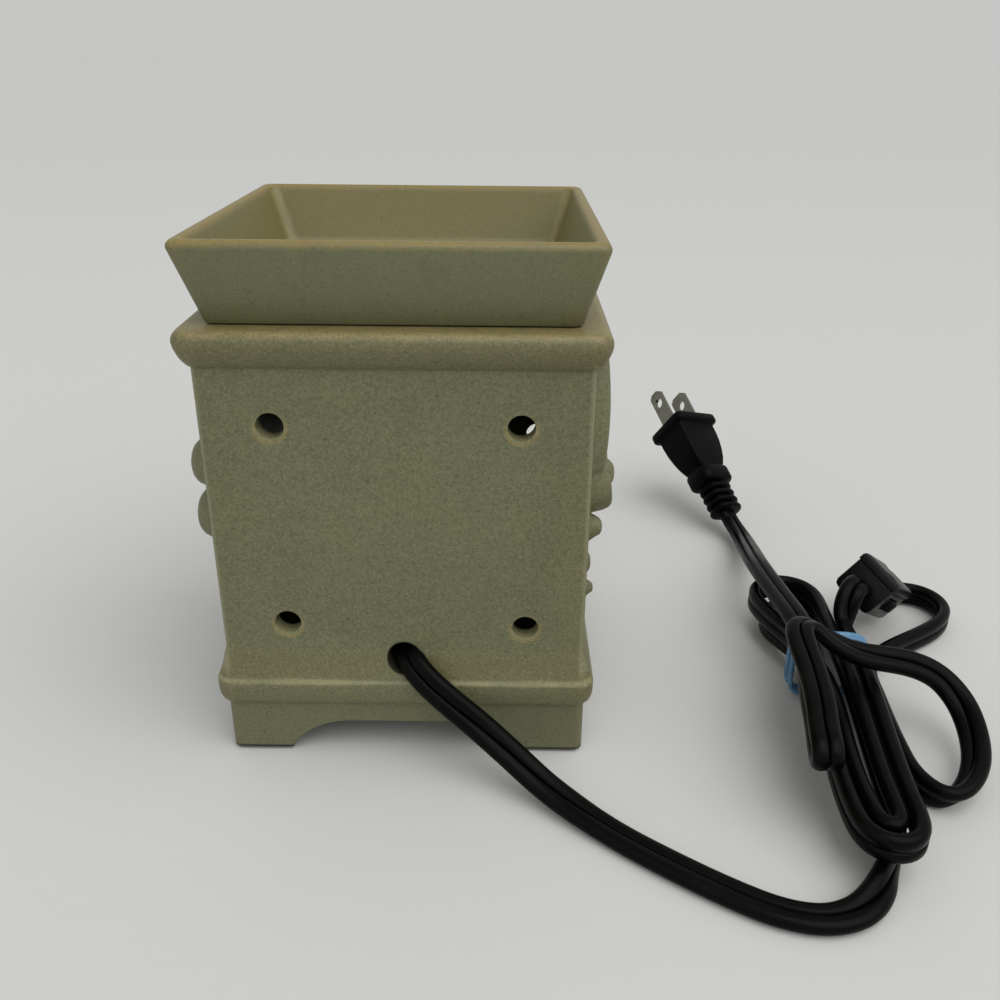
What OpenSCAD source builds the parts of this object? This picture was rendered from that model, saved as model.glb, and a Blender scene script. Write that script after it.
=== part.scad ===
// Electric wax warmer: a square ceramic housing with a lift-off dish, a heating bulb inside,
// and a flat twin cord with an inline rotary switch, a tied hank and a two-blade plug.
// Millimetres. The table is z = 0, the front faces -Y and the cord leaves the back, at +Y.

/* [Body] */
// Width across the plain panels
body_w = 92; // [88:1:104]
// Height of the top rim above the table
body_h = 115.2; // [112:0.2:130]
// Thickness of the ceramic walls
wall_t = 4.5; // [3.5:0.5:5.5]
// Thickness of the ceramic floor
floor_t = 4.5; // [3.5:0.5:5.5]
// Height of the floor's underside above the table
floor_z = 15.7; // [14.7:0.5:17.7]
// Width of the square opening under the dish
opening_w = 77; // [70:1:80]
// Height of the lip round the opening
lip_h = 6; // [4:0.5:8]
// Width of the round hole in the floor
floor_hole_d = 38; // [30:1:42]

/* [Mouldings] */
// Height of the cornice below the top rim
cornice_h = 8.6; // [7:0.2:10]
// How far the cornice stands out from the panels
cornice_out = 3.4; // [2.4:0.1:4.4]
// Small step under the cornice's roll
cornice_step = 0.8; // [0.4:0.1:1.2]
// Height where the base moulding meets the panels
base_top_z = 31.9; // [29.9:0.5:35]
// Radius of the cove between base moulding and panel
cove_r = 3.5; // [2:0.5:5]
// How far the base moulding's edge stands out from the panels
roll_out = 3; // [2.4:0.1:3.8]
// Height of that edge
roll_z = 21.8; // [20:0.2:24]
// How far the plinth stands out from the panels
plinth_out = 0.8; // [0.4:0.1:1.5]

/* [Feet] */
// Width of each foot at the table
foot_w = 16.2; // [13:0.2:20]
// Height of the arch between two feet
arch_h = 8.8; // [6:0.1:11]
// Length of the arch's curved shoulder
arch_shoulder = 15.6; // [8:0.2:18]
// Height of the foot's upright edge below that shoulder
arch_edge = 1; // [1:0.1:3]
// Diameter of the pads under the feet
pad_d = 6.4; // [4:0.2:7]
// Thickness of the pads
pad_t = 1; // [0.6:0.1:1.6]
// Distance of a pad's centre from the plinth's outside
pad_inset = 4.4; // [3.6:0.2:5]

/* [Vents] */
// Diameter of the round vents
vent_d = 6.6; // [5:0.1:8]
// Distance of a vent from the middle of the back
vent_x = 29.1; // [24:0.1:34]
// Height of the lower vents
vent_low_z = 39.6; // [37:0.1:44]
// Height of the upper vents
vent_high_z = 92.4; // [86:0.1:98]

/* [Ornament] */
// How far the side reliefs stand out
relief_out = 4.8; // [3.6:0.1:5.6]
// How far the front relief stands out
front_relief_out = 2.8; // [2:0.1:2.9]
// Diameter of the pierced holes in the ornament
pierced_d = 7; // [5:0.5:8]

/* [Dish] */
// How far the dish's rim stands out past the panels, at each side
dish_over = 1.8; // [0.4:0.1:5]
// Width of the dish's underside
dish_base_w = 85.4; // [82:0.2:88]
// Height of the dish above the body's rim
dish_h = 19.3; // [15:0.1:26]
// Thickness of the dish's wall
dish_wall = 3.4; // [2.6:0.1:4.4]
// Depth of the hollow for the wax
dish_depth = 15.5; // [11:0.5:16]
// Height of the step that keeps the dish in the opening
spigot_h = 4; // [2:0.5:6]
// Gap between that step and the opening, all round
spigot_gap = 0.8; // [0.4:0.1:1.5]
// Gap between dish and body
seat_gap = 0.2; // [0.1:0.05:0.3]

/* [Lamp] */
// Outside diameter of the threaded tube
nipple_d = 9.6; // [8:0.2:11]
// Bore of the threaded tube
nipple_bore = 7; // [5:0.5:7.5]
// Clearance round the threaded tube
thread_gap = 0.1; // [0.05:0.05:0.2]
// Diameter of the round plate under the floor
plate_d = 54; // [48:1:62]
// Thickness of that plate
plate_t = 1.2; // [0.8:0.1:1.6]
// Width of the strap across the floor hole
strap_w = 16; // [14:1:20]
// Thickness of the strap
strap_t = 1.6; // [1.2:0.1:2]
// Width of the nut across its flats
nut_af = 14; // [13:0.5:16]
// Thickness of the nut
nut_t = 4; // [3:0.5:5]
// Thickness of the washer over the nut
washer_t = 1; // [0.8:0.1:1.4]
// Outside diameter of the lamp holder
holder_d = 22; // [20:0.5:26]
// Height of the lamp holder
holder_h = 22; // [20:0.5:26]
// Diameter of the bulb's screw cap
cap_d = 11.7; // [11.5:0.1:11.9]
// Running clearance of the cap in the holder's shell
cap_gap = 0.08; // [0.05:0.01:0.1]
// Height of the bulb's screw cap
cap_h = 13; // [12:0.5:15]
// Largest diameter of the bulb's glass
bulb_d = 32; // [28:1:38]
// Length of the bulb's glass
bulb_l = 47; // [42:1:52]
// Thickness of the bulb's glass
glass_t = 0.8; // [0.6:0.1:1.2]

/* [Cord] */
// Width of the flat twin cord
cord_w = 7.6; // [7:0.1:7.8]
// Thickness of the cord
cord_t = 3.8; // [3.4:0.1:4]
// Diameter of the hole that the cord leaves by
cord_hole_d = 8.4; // [8.2:0.1:10]
// Height of that hole's centre
cord_hole_z = 29.7; // [28.5:0.1:32]

/* [Switch] */
// Length of the switch along the cord
switch_l = 26; // [24:1:36]
// Width of the switch
switch_w = 14; // [13:0.5:20]
// Height of the switch
switch_h = 14; // [12:0.5:16]
// Thickness of the switch's cover
cover_t = 3; // [2.5:0.1:4]
// How far the wheel's rim stands out at each side
wheel_out = 2; // [1.5:0.1:3]
// Thickness of the wheel
wheel_t = 4; // [3:0.1:5]
// Diameter of the wheel's pin
pin_d = 3; // [2.5:0.1:4]
// Running clearance of the wheel on its pin
pin_gap = 0.05; // [0.02:0.01:0.1]

/* [Plug] */
// Width of the plug's flange, along the row of blades
flange_w = 22; // [21:0.5:26]
// Height of the plug's flange
flange_h = 19; // [17:0.5:22]
// Thickness of the plug's flange
flange_t = 3.5; // [3:0.5:5]
// Length of the plug's tapered grip
grip_l = 20; // [18:1:30]
// Length of the collar behind the grip
collar_l = 7; // [6:0.5:10]
// Length of the ribbed strain relief
ribs_l = 13; // [12:0.5:20]
// Number of ribs
rib_count = 4; // [3:1:5]
// Distance between the two blades
blade_spacing = 12.7; // [12.7:0.1:12.8]
// Width of the narrow blade
blade_hot_w = 6.35; // [6.2:0.05:6.5]
// Width of the wide blade
blade_neutral_w = 7.94; // [7.8:0.02:8.1]
// Thickness of the blades
blade_t = 1.5; // [1.4:0.05:1.65]
// Free length of the blades
blade_l = 17; // [15.9:0.1:18.2]
// Diameter of the hole in each blade
blade_hole_d = 4; // [3:0.1:4.2]

/* [Tie] */
// Width of the tie along the hank
tie_w = 5; // [3:0.5:8]
// Thickness of the tie
tie_t = 1.5; // [1:0.1:1.6]

/* [Hidden] */
$fn = 48;
eps = 0.5;

GLAZE = [0.45, 0.45, 0.33];
BLACK = [0.06, 0.06, 0.06];
STEEL = [0.66, 0.66, 0.64];
BRASS = [0.74, 0.58, 0.28];
CREAM = [0.86, 0.84, 0.78];
BLUE = [0.29, 0.52, 0.70];

// Body outline
half = body_w / 2;
plinth_half = half + plinth_out;
floor_top = floor_z + floor_t;
panel_top_z = body_h - cornice_h;
panel_mid_z = (base_top_z + panel_top_z) / 2;
inner_half = half - wall_t;
dish_w = body_w + 2 * dish_over;
span = 2 * (body_w + dish_w);
arch_half = plinth_half - foot_w;
pad_at = plinth_half - pad_inset;
// The vents are cut by hand, and one of the lower two sits a little out of line
vents = [
    [vent_x, vent_low_z], [vent_x, vent_high_z],
    [-vent_x, vent_high_z], [-vent_x - 1.8, vent_low_z - 1]
];

// Dish
seat_z = body_h + seat_gap;
rim_z = seat_z + dish_h;
dish_floor_z = rim_z - dish_depth;

// Lamp stack, from the plate under the floor upwards
plate_z = floor_z - plate_t;
washer_z = plate_z - washer_t;
nut_z = washer_z - nut_t;
nipple_z = nut_z - 1.5;
strap_z = floor_top;
holder_z = strap_z + strap_t;
holder_top = holder_z + holder_h;
nipple_socket = 5;
nipple_top = holder_z + nipple_socket;
shell_t = 0.6;
shell_bore_r = cap_d / 2 + cap_gap;
shell_r = shell_bore_r + shell_t;
shell_fit = 0.1;
holder_floor_z = holder_top - cap_h - 2;
contact_t = 0.5;
tip_h = 1.6;
cap_z = holder_floor_z + contact_t + 0.3 + tip_h;
cap_top = cap_z + cap_h - tip_h;
glass_z = cap_top;
neck_r = cap_d / 2 - 0.9;
strap_back = inner_half - 5;
strap_front = floor_hole_d / 2 + 8;

// Inner end of the cord
clamp_y = strap_back - 5;
clamp_l = 7;
clamp_wall = 1.6;
clamp_flange = 6;
clamp_screw_d = 3;
cord_fit = 0.1;
inner_end_y = clamp_y - 7;
cord_start_y = half + 0.5;
wire_d = 2.6;
terminal_x = 5;
terminal_d = 4;
terminal_z = holder_z + 8;

// Hank: middle line at the near bow, at the waist and at the far bow
hank_near_x = -113.4;
hank_waist_x = -119.6;
hank_far_x = -117.6;
hank_near_y = 94;
hank_l = 119;
hank_near_r = 7;
hank_far_r = 12;
hank_gap = 0.8;
hank_pitch = cord_t + hank_gap;
hank_waist = 75;
hank_waist_half = 1.6 * hank_pitch;
hank_start = 24;
hank_end = 81;
hank_lift = tie_t + 0.6;
layer_z = [cord_w / 2 + 0.3, cord_w / 2 + 0.3 + cord_w + 0.8];
// Each run along the hank: inset in turns, layer where it starts, layer where it ends
runs = [[0, 0, 0], [1, 0, 1], [1, 1, 1], [0, 1, 1], [0, 1, 1]];
run_steps = 8;
arc_steps = 5;
tie_gap = 0.6;

// Switch and plug places
switch_at = [-137.7, -7, 22.4];
switch_turn = [31, 30, 234];
plug_at = [-112.3, -86, 8.5];
plug_turn = [17.5, -31.5, -68.5];
plug_l = ribs_l + collar_l + grip_l + flange_t;
wheel_r = switch_w / 2 + wheel_out;
wheel_gap = 0.6;
base_h = switch_h - cover_t;

UP = [0, 0, 1];
ACROSS = [1, 0, 0];
// Free stretches: each row is a point on the cord and the direction of the cord's width there
lead_route = [
    [[0, cord_start_y, cord_hole_z], [-1, 0, 0]],
    [[0, cord_start_y + 2.7, cord_hole_z], [-1, 0, 0]],
    [[-4, 52, 27.2], [-0.8, 0, 0.6]],
    [[-11, 53.6, 22], [-0.7, -0.2, 0.7]],
    [[-19, 56, 16], [-0.7, -0.4, 0.6]],
    [[-27, 60, 10.5], [-0.6, -0.6, 0.5]],
    [[-37, 67.2, 5.2], [-0.6, -0.7, 0.3]],
    [[-51, 78.4, 2.4], [-0.6, -0.8, 0]],
    [[-64, 88.4, 2.2], [-0.6, -0.8, 0]],
    [[-77, 97.2, 2.2], [-0.5, -0.9, 0]],
    [[-87, 102.4, 2.2], [-0.4, -0.9, 0]],
    [[-96, 104, 2.3], [0, -1, 0]],
    [[-104, 101.8, 3], [0.4, -0.9, 0.2]],
    [[-109.4, 96.8, 4], [0.6, -0.5, 0.6]],
    [[-113.2, 90.4, 4.1], [0.3, -0.2, 0.9]],
    [[-117.6, 83, 4.1], UP]
];
return_route = [
    [[-159.6, -33.2, 4.2], UP],
    [[-165.4, -32.2, 4.2], UP],
    [[-170, -27, 4.2], UP],
    [[-170.4, -19.4, 4.2], UP],
    [[-165.2, -11.6, 4.2], UP],
    [[-155.2, -4.2, 4.2], UP],
    [[-145, 2.4, 4.2], UP],
    [[-136.8, 9.4, 4.2], UP],
    [[-133.4, 17.4, 4.2], UP],
    [[-132.2, 28, 4.2], UP],
    [[-131, 40, 4.2], UP],
    [[-130.2, 52, 4.2], UP],
    [[-130.4, 61, 4.2], UP],
    [[-133.4, 67.4, 4.2], [-0.2, 0.3, 0.9]],
    [[-137.4, 68, 4.6], [-0.4, 0.5, 0.8]],
    [[-142.2, 64.6, 5.4], [-0.6, 0.4, 0.7]],
    [[-146.8, 58, 6.8], [-0.8, 0.2, 0.6]],
    [[-149.6, 49, 8.8], [-0.8, 0, 0.6]],
    [[-149.4, 40, 12.4], [-0.7, -0.4, 0.6]],
    [[-144.6, 34.4, 17], [-0.4, -0.7, 0.6]],
    [[-136.8, 33, 20.2], [-0.2, -0.8, 0.6]],
    [[-128.6, 33.4, 22], [-0.1, -0.9, 0.5]],
    [[-121, 33.6, 23.8], [0, -1, 0.3]],
    [[-114.6, 32.2, 26.6], [0.1, -0.9, 0.1]],
    [[-109.8, 28.2, 29.2], [0.6, -0.8, 0]],
    [[-105.6, 30.8, 30.6], [0.9, -0.4, 0]],
    [[-104.6, 39, 29.6], ACROSS],
    [[-104.4, 49, 28.4], ACROSS],
    [[-103.4, 60, 27], ACROSS],
    [[-101.6, 71, 25], ACROSS],
    [[-101.2, 76.8, 22.2], ACROSS],
    [[-102.2, 72, 19.2], ACROSS],
    [[-104.2, 61, 19.6], ACROSS],
    [[-106, 49, 20.4], ACROSS],
    [[-108.4, 37, 21.4], ACROSS],
    [[-110.4, 25, 22.6], ACROSS],
    [[-110.2, 13, 22.8], ACROSS],
    [[-109.5, 1, 21.8], ACROSS],
    [[-108.9, -13, 20.4], ACROSS],
    [[-109.2, -28, 18], ACROSS],
    [[-111.8, -46, 12.6], ACROSS],
    [[-114.1, -61, 7.8], ACROSS],
    [[-115.3, -72, 5.2], ACROSS]
];
feed_route = [
    [[-128, 5.6, 17.6], [0.5, -0.1, 0.9]],
    [[-128, 4, 21.2], [0.8, -0.2, 0.5]],
    [[-128, 2.8, 24.6], [0.9, -0.4, 0.2]],
    [[-130.2, 1, 26.9], [0.7, -0.6, 0.3]]
];

function lerp(a, b, t) = a + (b - a) * t;
function unit(v) = v / norm(v);

// Points on a circle from angle a0 to a1
function arc_points(cx, cy, rx, ry, a0, a1, n) =
    [for (i = [0:n]) let (a = lerp(a0, a1, i / n)) [cx + rx * cos(a), cy + ry * sin(a)]];

// Circular arc from p to q that bulges to the right of the way by s
function bulge(p, q, s, n) =
    let (d = q - p, chord = norm(d), r = (chord * chord / 4 + s * s) / (2 * s))
    let (out = [d.y, -d.x] / chord, centre = (p + q) / 2 + out * (s - r))
    let (mid = atan2(out.y, out.x), open = asin(chord / 2 / r))
    [for (i = [0:n]) let (a = mid + lerp(-open, open, i / n)) centre + r * [cos(a), sin(a)]];

// Both sides of a symmetrical outline, from the points of its right side
function both_sides(right) =
    concat(right, [for (i = [len(right) - 1:-1:0]) [-right[i].x, right[i].y]]);

// A place given in the frame of something that is turned and then moved
function turned(p, r) =
    let (y1 = p.y * cos(r.x) - p.z * sin(r.x), z1 = p.y * sin(r.x) + p.z * cos(r.x))
    let (x2 = p.x * cos(r.y) + z1 * sin(r.y), z2 = z1 * cos(r.y) - p.x * sin(r.y))
    [x2 * cos(r.z) - y1 * sin(r.z), x2 * sin(r.z) + y1 * cos(r.z), z2];

// The hank's half width at a station along it, before the inset of a turn
function hank_open(a) = lerp(hank_near_r, hank_far_r, (a - hank_near_r) / (hank_l - hank_near_r - hank_far_r));
// How much of the waist's pull a station feels, from 0 at the bows to 1 at the tie
function waist_share(a) =
    let (t = a < hank_waist ? (a - hank_near_r) / (hank_waist - hank_near_r)
                            : (hank_l - hank_far_r - a) / (hank_l - hank_far_r - hank_waist))
    (1 - cos(180 * max(0, min(1, t)))) / 2;
function hank_half(a, inset) =
    hank_open(a) - inset * hank_pitch - (hank_open(hank_waist) - hank_waist_half) * waist_share(a);
function hank_x(a) = lerp(a < hank_waist ? hank_near_x : hank_far_x, hank_waist_x, waist_share(a));
function hank_place(a, b, z) = [hank_x(a) + b, hank_near_y - a, z + hank_lift * waist_share(a)];

// Even runs head for the far end on the -X side, odd runs come back on the +X side
function run_side(k) = k % 2 == 0 ? -1 : 1;
function run_from(k) = k % 2 == 0 ? (k == 0 ? hank_start : hank_near_r) : hank_l - hank_far_r;
function run_to(k) = k % 2 == 0 ? (k == len(runs) - 1 ? hank_end : hank_l - hank_far_r) : hank_near_r;
function run_points(k) =
    [for (i = [0:run_steps])
        let (t = i / run_steps, a = lerp(run_from(k), run_to(k), t))
        hank_place(a, run_side(k) * hank_half(a, runs[k][0]),
                   lerp(layer_z[runs[k][1]], layer_z[runs[k][2]], t))];
// The fold from run k to the next one
function fold_points(k) =
    let (a = run_to(k), b0 = run_side(k) * hank_half(a, runs[k][0]))
    let (b1 = run_side(k + 1) * hank_half(a, runs[k + 1][0]))
    let (ahead = k % 2 == 0 ? 1 : -1, z = layer_z[runs[k][2]])
    [for (i = [1:arc_steps - 1])
        let (t = 180 * i / arc_steps)
        hank_place(a + ahead * abs(b1 - b0) / 2 * sin(t), (b0 + b1) / 2 + (b0 - b1) / 2 * cos(t), z)];
hank_points =
    [for (k = [0:len(runs) - 1]) each concat(run_points(k), k < len(runs) - 1 ? fold_points(k) : [])];
hank_route = [for (p = hank_points) [p, UP]];

// Gap between two pieces of the hank's cord, which stands on its edge
function edge_gap(p, q) =
    max(norm([p.x - q.x, p.y - q.y]) - cord_t, abs(p.z - q.z) - cord_w);
function near_on(p, a, b) =
    let (d = b - a, t = max(0, min(1, (p - a) * d / (d * d)))) a + d * t;
hank_self_gap = min([
    for (i = [0:len(hank_points) - 8])
        for (j = [i + 6:len(hank_points) - 2])
            edge_gap(hank_points[i], near_on(hank_points[i], hank_points[j], hank_points[j + 1]))
]);
echo(hank_self_gap = hank_self_gap);

// Cord ends at the switch and the plug, straight for one width
switch_axis = turned([1, 0, 0], switch_turn);
switch_side = turned([0, 1, 0], switch_turn);
switch_back = switch_at + switch_axis * switch_l;
plug_axis = turned([1, 0, 0], plug_turn);
plug_side = turned([0, 1, 0], plug_turn);
hank_first = hank_points[0];
hank_last = hank_points[len(hank_points) - 1];
hank_enter = unit(hank_points[1] - hank_first);
hank_leave = unit(hank_last - hank_points[len(hank_points) - 2]);
lead_full = concat(lead_route, [[hank_first - hank_enter * cord_t, UP], [hank_first, UP]]);
feed_full = concat(
    [[hank_last, UP], [hank_last + hank_leave * cord_t, UP]],
    feed_route,
    [[switch_at - switch_axis * cord_w, switch_side], [switch_at, switch_side]]
);
return_full = concat(
    [[switch_back, switch_side], [switch_back + switch_axis * cord_w, switch_side]],
    return_route,
    [[plug_at - plug_axis * cord_w, plug_side], [plug_at, plug_side]]
);
function route_length(r) = len(r) < 2 ? 0 : [for (i = [1:len(r) - 1]) norm(r[i][0] - r[i - 1][0])]
    * [for (i = [1:len(r) - 1]) 1];
echo(to_switch = route_length(lead_full) + route_length(hank_route) + route_length(feed_full));
echo(to_plug = route_length(return_full));

// Cross sections of the cord, in its width and its thickness
FLAT_8 = [
    for (s = [[1, 1], [-1, 1], [-1, -1], [1, -1]])
        for (k = s.x * s.y > 0 ? [0, 1] : [1, 0])
            [s.x * cord_w / 2 * (k == 0 ? 1 : 0.68), s.y * cord_t / 2 * (k == 0 ? 0.42 : 1)]
];
FLAT_6 = [for (a = [0:60:300]) [cord_w / 2 * cos(a) * (a % 180 == 0 ? 1 : 1.2), cord_t / 2 * sin(a) / sin(60)]];

// Solid along a route: every row gives a ring
module flat_cord(route, section) {
    n = len(route);
    m = len(section);
    points = [
        for (i = [0:n - 1])
            let (ahead = unit(route[min(i + 1, n - 1)][0] - route[max(i - 1, 0)][0]))
            let (hint = route[i][1], wide = unit(hint - ahead * (hint * ahead)), thin = cross(ahead, wide))
            for (q = section) route[i][0] + wide * q.x + thin * q.y
    ];
    sides = [
        for (i = [0:n - 2])
            for (j = [0:m - 1])
                let (a = i * m + j, b = i * m + (j + 1) % m)
                each [[a, b + m, b], [a, a + m, b + m]]
    ];
    caps = [for (j = [1:m - 2]) each [[0, j, j + 1], [(n - 1) * m, (n - 1) * m + j + 1, (n - 1) * m + j]]];
    polyhedron(points, concat(sides, caps));
}

// Square-plan solid with mitred corners from a symmetrical outline of half width and height
module square_form(outline) {
    intersection() {
        rotate([90, 0, 0]) linear_extrude(span, center = true) polygon(outline);
        rotate([90, 0, 90]) linear_extrude(span, center = true) polygon(outline);
    }
}

// Square block about the axis
module square_block(width, z0, z1) {
    translate([-width / 2, -width / 2, z0]) cube([width, width, z1 - z0]);
}

// Flat outline with round ends
module slot_outline(width, height) {
    square([width - height, height], center = true);
    for (s = [-1, 1]) translate([s * (width - height) / 2, 0]) circle(height / 2);
}

// Rounded rectangle
module round_outline(width, height, r) {
    square([width - 2 * r, height], center = true);
    square([width, height - 2 * r], center = true);
    for (x = [-1, 1], y = [-1, 1]) translate([x * (width / 2 - r), y * (height / 2 - r)]) circle(r);
}

module ring(r_out, r_in, z0, z1) {
    difference() {
        translate([0, 0, z0]) cylinder(h = z1 - z0, r = r_out);
        translate([0, 0, z0 - eps]) cylinder(h = z1 - z0 + 2 * eps, r = r_in);
    }
}

body_outline = both_sides(concat(
    [[plinth_half, pad_t], [plinth_half, floor_z]],
    bulge([plinth_half + 0.3, floor_z], [half + roll_out, roll_z], roll_out * 0.3, 8),
    arc_points(half + cove_r, base_top_z, cove_r, cove_r, 215, 180, 4),
    [[half, panel_top_z], [half + cornice_step, panel_top_z + cornice_step]],
    bulge([half + cornice_step, panel_top_z + cornice_step + 0.2], [half + cornice_step, body_h],
          cornice_out - cornice_step, 10)
));

// The shoulder is a round arc that ends level with the arch's top
arch_top = pad_t + arch_h;
arch_drop = arch_h - arch_edge;
arch_r = (arch_shoulder * arch_shoulder + arch_drop * arch_drop) / (2 * arch_drop);
arch_outline = both_sides(concat(
    [[arch_half, -eps]],
    arc_points(arch_half - arch_shoulder, arch_top - arch_r, arch_r, arch_r, acos(arch_shoulder / arch_r), 90, 6)
));

// Scrolls of the relief: place from the left edge or the right edge and from the panel's middle height,
// radius of the curve, radius of the roll, first and last angle
left_scrolls = [[41.5, 19, 36, 3.4, 150, 194], [13, 7, 6.4, 3.6, 172, 393]];
right_scrolls = [[27, -18, 20, 3.2, 95, 200], [22, 16, 11, 3, 30, 205]];
// Beads of the relief: place and radius
left_beads = [[13, 7, 4.6], [6, -4.5, 3], [8, -23, 2], [31, -28, 4]];
right_beads = [[8.5, 12, 6.2], [8.5, -1.5, 6.6], [26, 1, 4.6], [14, -21, 4]];
pierced_left = [[10, -11.5], [31, -12], [29, 17]];
pierced_right = [[14.5, -12], [30, -12], [24, 17]];

// Solids stand on the front panel, sunk so that they rise by the given height
module scroll(s, z, curve_r, roll_r, a0, a1, rise) {
    translate([s, -half - rise + roll_r, z]) rotate([90, 0, 0]) rotate([0, 0, a0])
        rotate_extrude(angle = a1 - a0) translate([curve_r, 0]) circle(roll_r, $fn = 24);
}

module bead(s, z, r, rise) {
    translate([s, -half - rise + r, z]) sphere(r);
}

module relief(rise) {
    for (k = left_scrolls) scroll(k[0] - half, panel_mid_z + k[1], k[2], k[3], k[4], k[5], rise * 0.8);
    for (k = right_scrolls) scroll(half - k[0], panel_mid_z + k[1], k[2], k[3], k[4], k[5], rise * 0.8);
    for (k = left_beads) bead(k[0] - half, panel_mid_z + k[1], k[2], min(rise, k[2] * 1.2));
    for (k = right_beads) bead(half - k[0], panel_mid_z + k[1], k[2], min(rise, k[2] * 1.2));
}

module pierced() {
    for (k = pierced_left) translate([k[0] - half, -half, panel_mid_z + k[1]]) rotate([90, 0, 0])
        cylinder(h = 4 * wall_t, d = pierced_d, center = true);
    for (k = pierced_right) translate([half - k[0], -half, panel_mid_z + k[1]]) rotate([90, 0, 0])
        cylinder(h = 4 * wall_t, d = pierced_d, center = true);
}

module body() {
    color(GLAZE) difference() {
        union() {
            square_form(body_outline);
            relief(front_relief_out);
            for (a = [90, -90]) rotate(a) relief(relief_out);
        }
        square_block(2 * inner_half, floor_top, body_h - lip_h);
        square_block(opening_w, body_h - lip_h - eps, body_h + eps);
        square_block(2 * inner_half, -eps, floor_z);
        translate([0, 0, floor_z - eps]) cylinder(h = floor_t + 2 * eps, d = floor_hole_d);
        for (a = [0, 90]) rotate([90, 0, a]) linear_extrude(span, center = true) polygon(arch_outline);
        for (v = vents) translate([v.x, half, v.y]) rotate([90, 0, 0])
            cylinder(h = 4 * wall_t, d = vent_d, center = true);
        translate([0, half, cord_hole_z]) rotate([90, 0, 0])
            cylinder(h = 4 * wall_t, d = cord_hole_d, center = true);
        for (a = [0, 90, -90]) rotate(a) pierced();
    }
}

dish_lean = (dish_w - dish_base_w) / 2 / dish_h;
rim_r = dish_wall / 2;
dish_outline = both_sides(concat(
    [[opening_w / 2 - spigot_gap, seat_z - spigot_h], [opening_w / 2 - spigot_gap, seat_z], [dish_base_w / 2, seat_z]],
    arc_points(dish_w / 2 - rim_r, rim_z - rim_r, rim_r, rim_r, 0, 90, 5)
));
hollow_half = dish_base_w / 2 + dish_lean * (dish_h - dish_depth) - dish_wall;
dish_hollow = both_sides([
    [hollow_half - 1.5, dish_floor_z],
    [hollow_half, dish_floor_z + 1.5],
    [dish_w / 2 - dish_wall, rim_z - rim_r],
    [dish_w / 2 - dish_wall + 0.5, rim_z + eps]
]);

module dish() {
    color(GLAZE) difference() {
        square_form(dish_outline);
        square_form(dish_hollow);
    }
}

module foot_pads() {
    color(BLACK) for (x = [-pad_at, pad_at], y = [-pad_at, pad_at])
        translate([x, y, 0]) cylinder(h = pad_t, d = pad_d);
}

module base_plate() {
    color(STEEL) ring(plate_d / 2, nipple_d / 2 + thread_gap, plate_z, floor_z);
}

module clamp_strap() {
    color(STEEL) difference() {
        translate([-strap_w / 2, -strap_front, strap_z]) cube([strap_w, strap_front + strap_back, strap_t]);
        translate([0, 0, strap_z - eps]) cylinder(h = strap_t + 2 * eps, d = nipple_d + 2 * thread_gap);
        translate([0, clamp_y - clamp_l / 2 - clamp_flange / 2, strap_z - eps])
            cylinder(h = strap_t + 2 * eps, d = clamp_screw_d + 2 * thread_gap);
    }
}

module lamp_nipple() {
    color(BRASS) ring(nipple_d / 2, nipple_bore / 2, nipple_z, nipple_top);
}

module nut_washer() {
    color(STEEL) ring(nut_af * 0.62, nipple_d / 2 + thread_gap, washer_z, plate_z);
}

module nipple_nut() {
    color(BRASS) difference() {
        translate([0, 0, nut_z]) cylinder(h = nut_t, d = nut_af / cos(30), $fn = 6);
        translate([0, 0, nut_z - eps]) cylinder(h = nut_t + 2 * eps, d = nipple_d + 2 * thread_gap);
    }
}

module lamp_holder() {
    color(CREAM) difference() {
        union() {
            translate([0, 0, holder_z]) cylinder(h = holder_h, d = holder_d - 3);
            translate([0, 0, holder_z]) cylinder(h = holder_h * 0.55, d = holder_d);
        }
        translate([0, 0, holder_floor_z]) cylinder(h = holder_h, r = shell_r + shell_fit);
        translate([0, 0, holder_z - eps]) cylinder(h = nipple_socket + eps, r = nipple_d / 2 + thread_gap);
        for (x = [-terminal_x, terminal_x]) translate([x, holder_d / 2, terminal_z]) rotate([90, 0, 0])
            cylinder(h = holder_d / 4, d = terminal_d + 2 * thread_gap, center = true);
    }
}

module holder_shell() {
    color(BRASS) ring(shell_r, shell_bore_r, holder_floor_z, holder_top - 0.8);
}

module holder_contact() {
    color(BRASS) translate([0, 0, holder_floor_z]) cylinder(h = contact_t, d = 7);
}

module terminal_screws() {
    color(STEEL) for (x = [-terminal_x, terminal_x]) translate([x, holder_d / 2, terminal_z])
        rotate([90, 0, 0]) difference() {
            translate([0, 0, -1.2]) cylinder(h = holder_d / 8 + 1.2, d = terminal_d);
            translate([-terminal_d, -0.4, -1.2 - eps]) cube([2 * terminal_d, 0.8, 0.7 + eps]);
        }
}

// Bulb outline from the neck to the crown, on the outside of the glass
bulb_r = bulb_d / 2;
crown_z = glass_z + bulb_l;
ball_z = crown_z - bulb_r;
// The cone from the neck touches the ball at this angle below its middle
neck_angle = -38;
module glass_outline(inset) {
    polygon(concat(
        [[0, glass_z + (inset > 0 ? glass_t : 0)], [neck_r - inset, glass_z + (inset > 0 ? glass_t : 0)],
         [neck_r - inset, glass_z + 5]],
        arc_points(0, ball_z, bulb_r - inset, bulb_r - inset, neck_angle, 90, 14)
    ));
}

module bulb_glass() {
    color([0.95, 0.95, 0.92, 0.4]) rotate_extrude() difference() {
        glass_outline(0);
        glass_outline(glass_t);
    }
}

module bulb_cap() {
    color(STEEL) difference() {
        translate([0, 0, cap_z]) cylinder(h = cap_top - cap_z, d = cap_d);
        translate([0, 0, cap_z + 1]) cylinder(h = cap_h, r = neck_r - 0.4);
    }
}

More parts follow.
